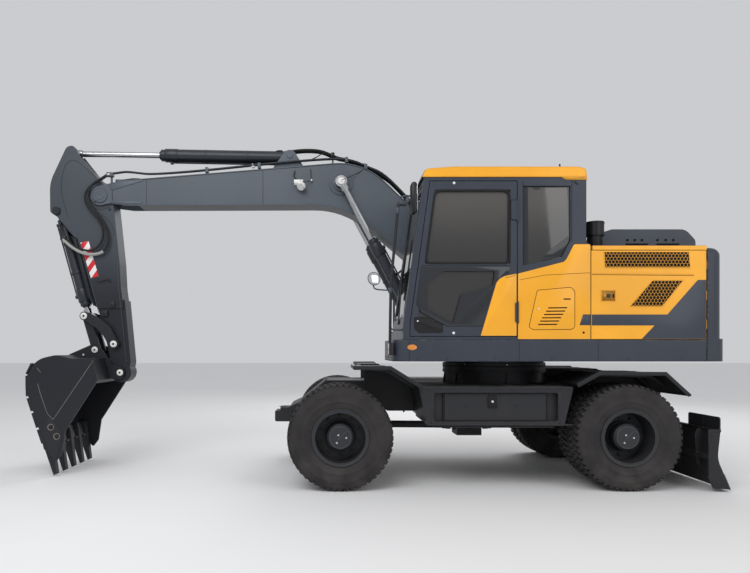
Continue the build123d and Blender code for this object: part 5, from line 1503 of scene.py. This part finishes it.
lamp_face = turned([(0, 0.005), (0.043, 0.005), (0.040, 0.010), (0, 0.013)], WORK_LAMP, LAMP_AIM, 32)
fixed(fittings + lamp_stay, "boom_lamp_stay", "boom", white)
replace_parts(fixed(lamp_shell, "boom_lamp_shell", "boom", white), "boom_lamp")
fixed(lamp_face, "boom_lamp_lens", "boom", clear_lens)


# ---- cylinders ----------------------------------------------------------------------------------
# Honed barrels with screwed glands and wiper seals. A steel pipe in two clamps takes the oil from the
# foot to the gland end of each.
def along_line(start, end, distance, y, rise=0.0):
    """A place on the way from a side-view pivot to another, raised at right angles."""
    way = (Vector(end) - Vector(start)).normalized()
    place = Vector(start) + way * distance + Vector((-way.y, way.x)) * rise
    return place.x, y, place.y


def cylinder_trim(pivots, y, radius, gland, side):
    """Gland nut, wiper, ports and oil pipe of one barrel. gland is its near end; side is the pipe's."""
    def at(distance, rise=0.0):
        return along_line(*pivots, distance, y, rise)

    bits = [rod(at(gland - 165), at(gland - 12), radius + 11, 5, 40),
            rod(at(gland - 14), at(gland + 34), radius + 2, 4, 12),
            rod(at(gland + 32), at(gland + 52), radius * 0.72, 3),
            rod(at(130, side * radius * 0.8), at(130, side * (radius + 24)), 20, 3, 6),
            rod(at(gland - 90, side * radius), at(gland - 90, side * (radius + 34)), 22, 3, 6),
            tube([Vector(at(d, side * (radius + 16))) * MM for d in (130, gland * 0.5, gland - 90)], 9)]
    for place in (gland * 0.33, gland * 0.66):
        bits.append(rod(at(place), at(place + 22), radius + 8, 2, 40))
        bits.append(rod(at(place - 2, side * radius * 0.9), at(place - 2, side * (radius + 24)), 15, 3, 4))
    return joined(bits)


LEVER_PIVOT, LEVER_TIP, BUCKET_CYLINDER_FOOT = (4358, 1442), (4697, 1762), (5030, 2969)
BOOM_CYLINDER = ((790, 1450), HEAD_PIN)
ARM_CYLINDER = ((2351, 3616), (4870, 3662))
BUCKET_CYLINDER = (BUCKET_CYLINDER_FOOT, LEVER_TIP)
fixed([cylinder_trim(BOOM_CYLINDER, y, 60, 1285, 1) for y in (-283, 163)], "boom_cylinder_trim",
      "boom_barrels", cylinder_paint)
for name, pivots, radius, gland, side in (("arm", ARM_CYLINDER, 67, 1470, -1),
                                          ("bucket", BUCKET_CYLINDER, 62, 1085, 1)):
    fixed(cylinder_trim(pivots, MIDDLE_Y, radius, gland, side), f"{name}_cylinder_trim", f"{name}_barrel",
          cylinder_paint)
eyes = [ring([(42, 0), (67.5, 0), (67.5, 67), (42, 67)], HEAD_PIN, y, 1, 64) for y in (129.5, -316.5)]
eyes += [rod(along_line(*BOOM_CYLINDER, 1986, y), along_line(*BOOM_CYLINDER, 2020, y), 39, 4)
         for y in (163, -283)]
fixed(eyes, "boom_rod_eyes", "boom_rods", cylinder_paint)


# ---- hoses between house and boom ---------------------------------------------------------------
# Five pressure hoses stand up from the valve block and lie over on to the boom's back in a loose
# bend, and one hose on each side feeds a boom cylinder.
def hose(name, points, radius, start, end):
    """A free hose: a round tube on a smooth line, in hose rubber."""
    line = led(points, 8)
    piece = tube(line, radius)
    bpy.ops.object.shade_smooth()
    piece.name = piece.data.name = name
    piece.data.materials.append(hose_black)
    [c * MM for c in start]
    [c * MM for c in end]
    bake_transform(piece)


FEED_ROWS = (-163, -109, -55, -1, 53)
valve_block = [box((-560, -190, 1490), (-440, 80, 1646), 8), box((-520, -150, 1310), (-480, 40, 1500), 4)]
valve_block += [rod((-500, y, 1640), (-500, y, 1690), 19, 3, 6) for y in FEED_ROWS]
fixed(valve_block, "boom_valve_block", "house", chassis_paint)
for number, y in enumerate(FEED_ROWS):
    top_y = max(-120, min(20, y + 10))
    feed = [(-500, y, 1320), (-500, y, 1690), (-502, y, 1840), (-470, y, 2080), (-340, top_y, 2340),
            (-100, top_y, 2530), (180, top_y, 2620), (400, top_y, 2638), (520, top_y, 2650),
            (620, top_y, over_boom(620, 32)), (700, top_y, over_boom(700, 22))]
    hose(f"boom_feed_hose_{number + 1}", feed, 13, (-420, 0, 2000), (420, 0, 2640))
for side, y in (("left", 163), ("right", -283)):
    feed = [(480, y, 1312), (490, y, 1480), (560, y, 1620), (660, y, 1672), (740, y, 1650),
            along_line(*BOOM_CYLINDER, 130, y, 84)]
    hose(f"{side}_boom_cylinder_hose", feed, 9, (560, y, 1560), (740, y, 1640))


# ---- arm ----------------------------------------------------------------------------------------
# A welded arm with a raised doubler round the top pivot and a cast nose. Its left side has hose
# guides, grease lines and a red and white reflective strip.
arm_finish = Finish("arm_paint")
x, y, z = arm_finish.axes()
height = arm_finish.step(z, 1.9, 2.75)
cloud = arm_finish.noise(2.5, 4.0)
speck = arm_finish.noise(45.0, 4.0)
rounded_steel = arm_finish.node("ShaderNodeBevel", {"samples": 4}, {"Radius": 0.008})
# The arm's colour is darker towards the bottom: it darkens between 2.75 m and 1.9 m.
darker_low_down = arm_finish.mix(height, (0.008, 0.009, 0.014), (0.048, 0.058, 0.074))
arm_paint = arm_finish.set(Base_Color=arm_finish.mix(cloud * 0.3, darker_low_down, (0.03, 0.034, 0.042)),
                           Roughness=cloud * 0.12 + speck * 0.08 + 0.34, Coat_Weight=0.08,
                           Coat_Roughness=0.2, Specular_IOR_Level=0.32,
                           Normal=arm_finish.bump(cloud * 0.0016 + speck * 0.0002, 1.0, rounded_steel))
lower_paint = painted("lower_gear_paint", (0.012, 0.014, 0.019), roughness=0.42, dust=0.03, worn=0.25)
dress(arm_paint, "arm")
dress(lower_paint, "tilt_levers", "bucket_link")
ARM_FACE, ARM_BACK = 64, -184
arm_lines = []
for face, way in ((ARM_FACE, 1), (ARM_BACK, -1)):
    low = face if way > 0 else face - 1.6
    arm_lines.append(strip([(4895, 2891), (4962, 3120), (4978, 3275), (4953, 3415), (4926, 3497),
                            (4888, 3535), (4838, 3551), (4786, 3535), (4678, 3440), (4576, 3345)], low, 1.6,
                           6))
    arm_lines.append(ring([(150, 0), (157, 0), (157, 1.8), (150, 1.8)], ARM_PIN, face, way, 64))
    arm_lines.append(strip([(4524, 2930), (4455, 2885), (4405, 2820), (4384, 2763), (4372, 2700)], low, 1.6,
                           5))
fixed(arm_lines, "arm_weld_beads", "arm", weld_paint)
# Painted shadow: a near-black sheet along the arm's front edge.
front_shadow = plate([(4893, 2700), (4791, 2655), (4606, 2010), (4568, 1870), (4580, 1866), (4636, 1996),
                    (4810, 2652), (4902, 2745)], ARM_FACE, 1.0, 0.3)
fixed(front_shadow, "arm_front_painted_shadow", "arm", seam_shadow_paint)
# Painted highlight: a lighter strip along the side plate's front edge.
front_edge_highlight = strip([(4900, 2900), (4890, 2800), (4793, 2661), (4614, 2040), (4549, 1800)], ARM_FACE, 2.2, 5)
rear_ridge = strip([(4398, 3010), (4336, 2377), (4322, 2100), (4292, 1850), (4230, 1235)], ARM_FACE - 14,
                   15.5, 4)
channel = [(4900, 2800), (4810, 2655), (4636, 2000), (4570, 1880), (4606, 1880), (4674, 1990), (4850, 2650),
           (4930, 2790)]
fixed([plate(channel, y, 13, 2) for y in (50, -183)], "arm_front_lips", "arm", lower_paint)
fixed([front_edge_highlight, rear_ridge], "arm_edge_highlight_and_ridge", "arm", boom_paint)
pads = []
for (x, z), turn in (((4392, 1890), 0.2), ((4476, 1792), 0.1)):
    pad = box((x - 34, 50, z - 32), (x + 34, 82, z + 32), 4)
    pad.data.transform(about((x * MM, 0, z * MM), LEFTWARD, turn))
    pads += [pad, bolt((x, 82, z), LEFTWARD, 12, 7)]
pads += [box((4990, 62, 2925), (5066, 74, 3012), 5), bolt((5048, 74, 2990), LEFTWARD, 10, 7),
         bolt((5006, 74, 2946), LEFTWARD, 10, 7)]
pads += [ring([(0, 0), (46, 0), (46, 12), (40, 18), (0, 18)], BUCKET_CYLINDER_FOOT, y, way, 32)
         for y, way in ((72, 1), (-192, -1))]
BUCKET_PIN, LINK_PIN = (4295, 1115), (4583, 1376)
pads += [ring([(60, 0), (112, 0), (112, 3), (60, 3)], BUCKET_PIN, y, way)
         for y, way in ((50, 1), (-170, -1))]
pads += [tube(led([(4575, 90, 2190), (4540, 92, 2150), (4480, 92, 2175), (4430, 88, 2190),
                   (4412, 70, 2150)]), 7)]
pads.append(rod((4420, 62, 2990), (4420, 70, 2990), 16, 2))
fixed(pads, "arm_side_fittings", "arm", lower_paint)
tape = Finish("reflective_tape")
x, y, z = tape.axes()
glint = tape.noise(500.0, 0.0)
band = ((x * 1.41 + z - 9.195) * 5.4) % 1.0
red_white = tape.set(Base_Color=tape.mix(tape.step(band, 0.49, 0.51), (0.62, 0.012, 0.020),
                                         (0.78, 0.78, 0.77)), Roughness=glint * 0.1 + 0.25,
                     Normal=tape.bump(glint, 0.0001))
for face, name in ((ARM_FACE, "left"), (ARM_BACK - 1.2, "right")):
    fixed(plate([(4757, 2606), (4664, 2626), (4548, 2222), (4636, 2198)], face, 1.2, 0.3),
          f"{name}_warning_strip", "arm", red_white)


def capped(places, radius, bolt_radius, name, body):
    """A white cap on each end of some pins, and the bolt that holds it."""
    fixed([ring([(0, 0), (radius, 0), (radius, 5), (radius - 5, 8), (0, 8)], pin, y, way, 32)
           for pin, y, way in places], f"{name}_caps", body, white)
    fixed([bolt((pin[0], y + 8 * way, pin[1]), (0, way, 0), bolt_radius, 8) for pin, y, way in places],
          f"{name}_bolts", body, lower_paint)


capped([(LEVER_PIVOT, 122, 1), (LEVER_PIVOT, -242, -1)], 38, 13, "lever_pivot", "arm")
capped([(LEVER_TIP, 120, 1), (LEVER_TIP, -240, -1)], 38, 13, "lever_tip", "tilt_levers")


# ---- hoses between boom and arm -----------------------------------------------------------------
# Two hoses leave the post at the boom's tip, hang in a loop beside the pivot and end at the bucket
# cylinder's pipes. The lower part of one has a light woven sleeve.
loop = [(4430, 108, 3378), (4500, 112, 3330), (4600, 116, 3270), (4652, 118, 3180), (4650, 118, 3080),
        (4590, 118, 2990), (4500, 118, 2880), (4425, 116, 2740), (4415, 114, 2600), (4468, 112, 2495),
        (4570, 110, 2462), (4688, 108, 2468), (4800, 104, 2520), (4890, 98, 2588), (4946, 90, 2640)]
inner_loop = [(4430, 84, 3378), (4530, 98, 3300), (4640, 112, 3240), (4690, 114, 3150), (4686, 114, 3060),
              (4630, 114, 2970), (4540, 114, 2880), (4478, 114, 2760), (4480, 112, 2640), (4540, 110, 2540),
              (4640, 108, 2500), (4760, 106, 2530), (4860, 98, 2590), (4925, 84, 2650)]
hose("arm_loop_hose_outer", loop, 14, (4600, 116, 3300), (4440, 116, 2760))
hose("arm_loop_hose_inner", inner_loop, 12, (4620, 116, 3280), (4500, 116, 2780))
sleeve_cloth = mottled("woven_sleeve", (220.0, 2.0), (0.22, 0.22, 0.21), (0.42, 0.42, 0.40), (0.2, 0.55),
                       0.001)
SLEEVE_START = 73
fixed(tube(led(loop, 8)[SLEEVE_START:], 17.5), "loop_hose_sleeve", "arm", sleeve_cloth)
ends = [rod((4402, y, 3378), (4436, y, 3378), 16, 3, 6) for y in (84, 110)]
fixed(ends, "loop_hose_ends", "boom", plated_steel)
block_ends = [box((4910, 66, 2626), (4975, 104, 2680), 5), rod((4950, 90, 2640), (4975, 84, 2690), 13, 2, 6)]
block_ends += [tube(led([(4970, 84, 2680), (4990, 70, 2760), (5000, 40, 2820), (4985, 10, 2850)]), 9)]
fixed(block_ends, "loop_hose_block", "arm", lower_paint)


# ---- bucket -------------------------------------------------------------------------------------
# A digging bucket of rolled plate. Wear strips and heel shrouds guard its back, side cutters are
# bolted at the lip, and five pinned teeth sit on welded adapters.
bucket_paint = painted("bucket_paint", (0.011, 0.012, 0.017), roughness=0.45, dust=0.03, worn=0.3, coat=0.05)
dress(bucket_paint, "bucket")
BUCKET_SIDES = ((500, 1), (-620, -1))
welds, cutters, washers, shrouds = [], [], [], []
BACK = [(5110, 1232), (5186, 1100), (5196, 1000), (5160, 860), (5108, 700), (5050, 520), (4992, 350)]
for face, way in BUCKET_SIDES:
    low = face if way > 0 else face - 2
    welds.append(strip([(4450, 1262), (4884, 622)], low, 2, 4))
    welds.append(strip([(5052, 1010), (5022, 900), (4952, 700), (4938, 674), (4884, 622)], low, 2, 4))
    welds.append(strip([(5060, 1180), (5020, 1130)], low, 2, 4))
    cutters.append(plate([(4995, 560), (4936, 640), (4884, 622), (4800, 500), (4790, 420), (4845, 182),
                          (4868, 172), (4920, 250), (4972, 420)], face - (4 if way < 0 else 10), 14, 3, 6))
    for pin in ((4906, 540), (4842, 440)):
        cutters.append(bolt((pin[0], face + way * 4, pin[1]), (0, way, 0), 24, 14))
        washers.append(ring([(27, 0), (36, 0), (36, 4), (27, 4)], pin, face + way * 4, way, 24))
    for (xa, za), (xb, zb) in zip(BACK, BACK[1:]):
        a, b = Vector((xa, za)), Vector((xb, zb))
        run = (b - a).normalized()
        out = Vector((-run.y, run.x))
        if out.x < 0:
            out = -out
        a, b = a + run * 8, b - run * 14
        heel = [a - out * 10, a + out * 16, b + out * 16, b - out * 10]
        inside = face - 70 if way > 0 else face
        shrouds.append(plate([(min(c.x, 5183), c.y) for c in heel], inside, 70, 4))
        strap = [a - out * 14, a + out * 10, b + out * 10, b - out * 14]
        shrouds += [plate([(min(c.x, 5179), c.y) for c in strap], y, 60, 3) for y in (-270, 90) if way > 0]
fixed(welds, "bucket_weld_beads", "bucket", scratched_steel)
fixed(cutters, "bucket_side_cutters", "bucket", lower_paint)
fixed(washers, "bucket_cutter_washers", "bucket", scratched_steel)
fixed(shrouds, "bucket_shrouds", "bucket", bucket_paint)
capped([(pin, y, way) for pin in (BUCKET_PIN, LINK_PIN) for y, way in ((90, 1), (-210, -1))],
       36, 12, "bucket_pin", "bucket")
lock_bolts = [bolt((4712, y, 1318), (0, w, 0), 15, 9) for y, w in ((86, 1), (-206, -1))]
fixed(lock_bolts, "bucket_lock_bolts", "bucket", plated_steel)
adapters, tooth_pins = [], []
for number in range(5):
    middle = MIDDLE_Y + 245 * (number - 2)
    adapters.append(plate([(5048, 500), (5000, 300), (4968, 262), (4890, 290), (4905, 430), (4925, 500)],
                          middle - 42, 84, 8))
    adapters.append(plate([(4984, 300), (4944, 150), (4884, 18), (4864, 22), (4880, 170), (4898, 300)],
                          middle - 26, 52, 6))
    tooth_pins.append(rod((4930, middle - 44, 330), (4930, middle + 44, 330), 14, 3))
fixed(adapters, "tooth_adapters", "bucket", lower_paint)
fixed(tooth_pins, "tooth_pins", "bucket", scratched_steel)
lip = plate([(5040, 470), (4985, 300), (4958, 306), (4940, 336), (4985, 480)], MIDDLE_Y - 535, 1070, 4)
fixed(lip, "bucket_lip", "bucket", scratched_steel)
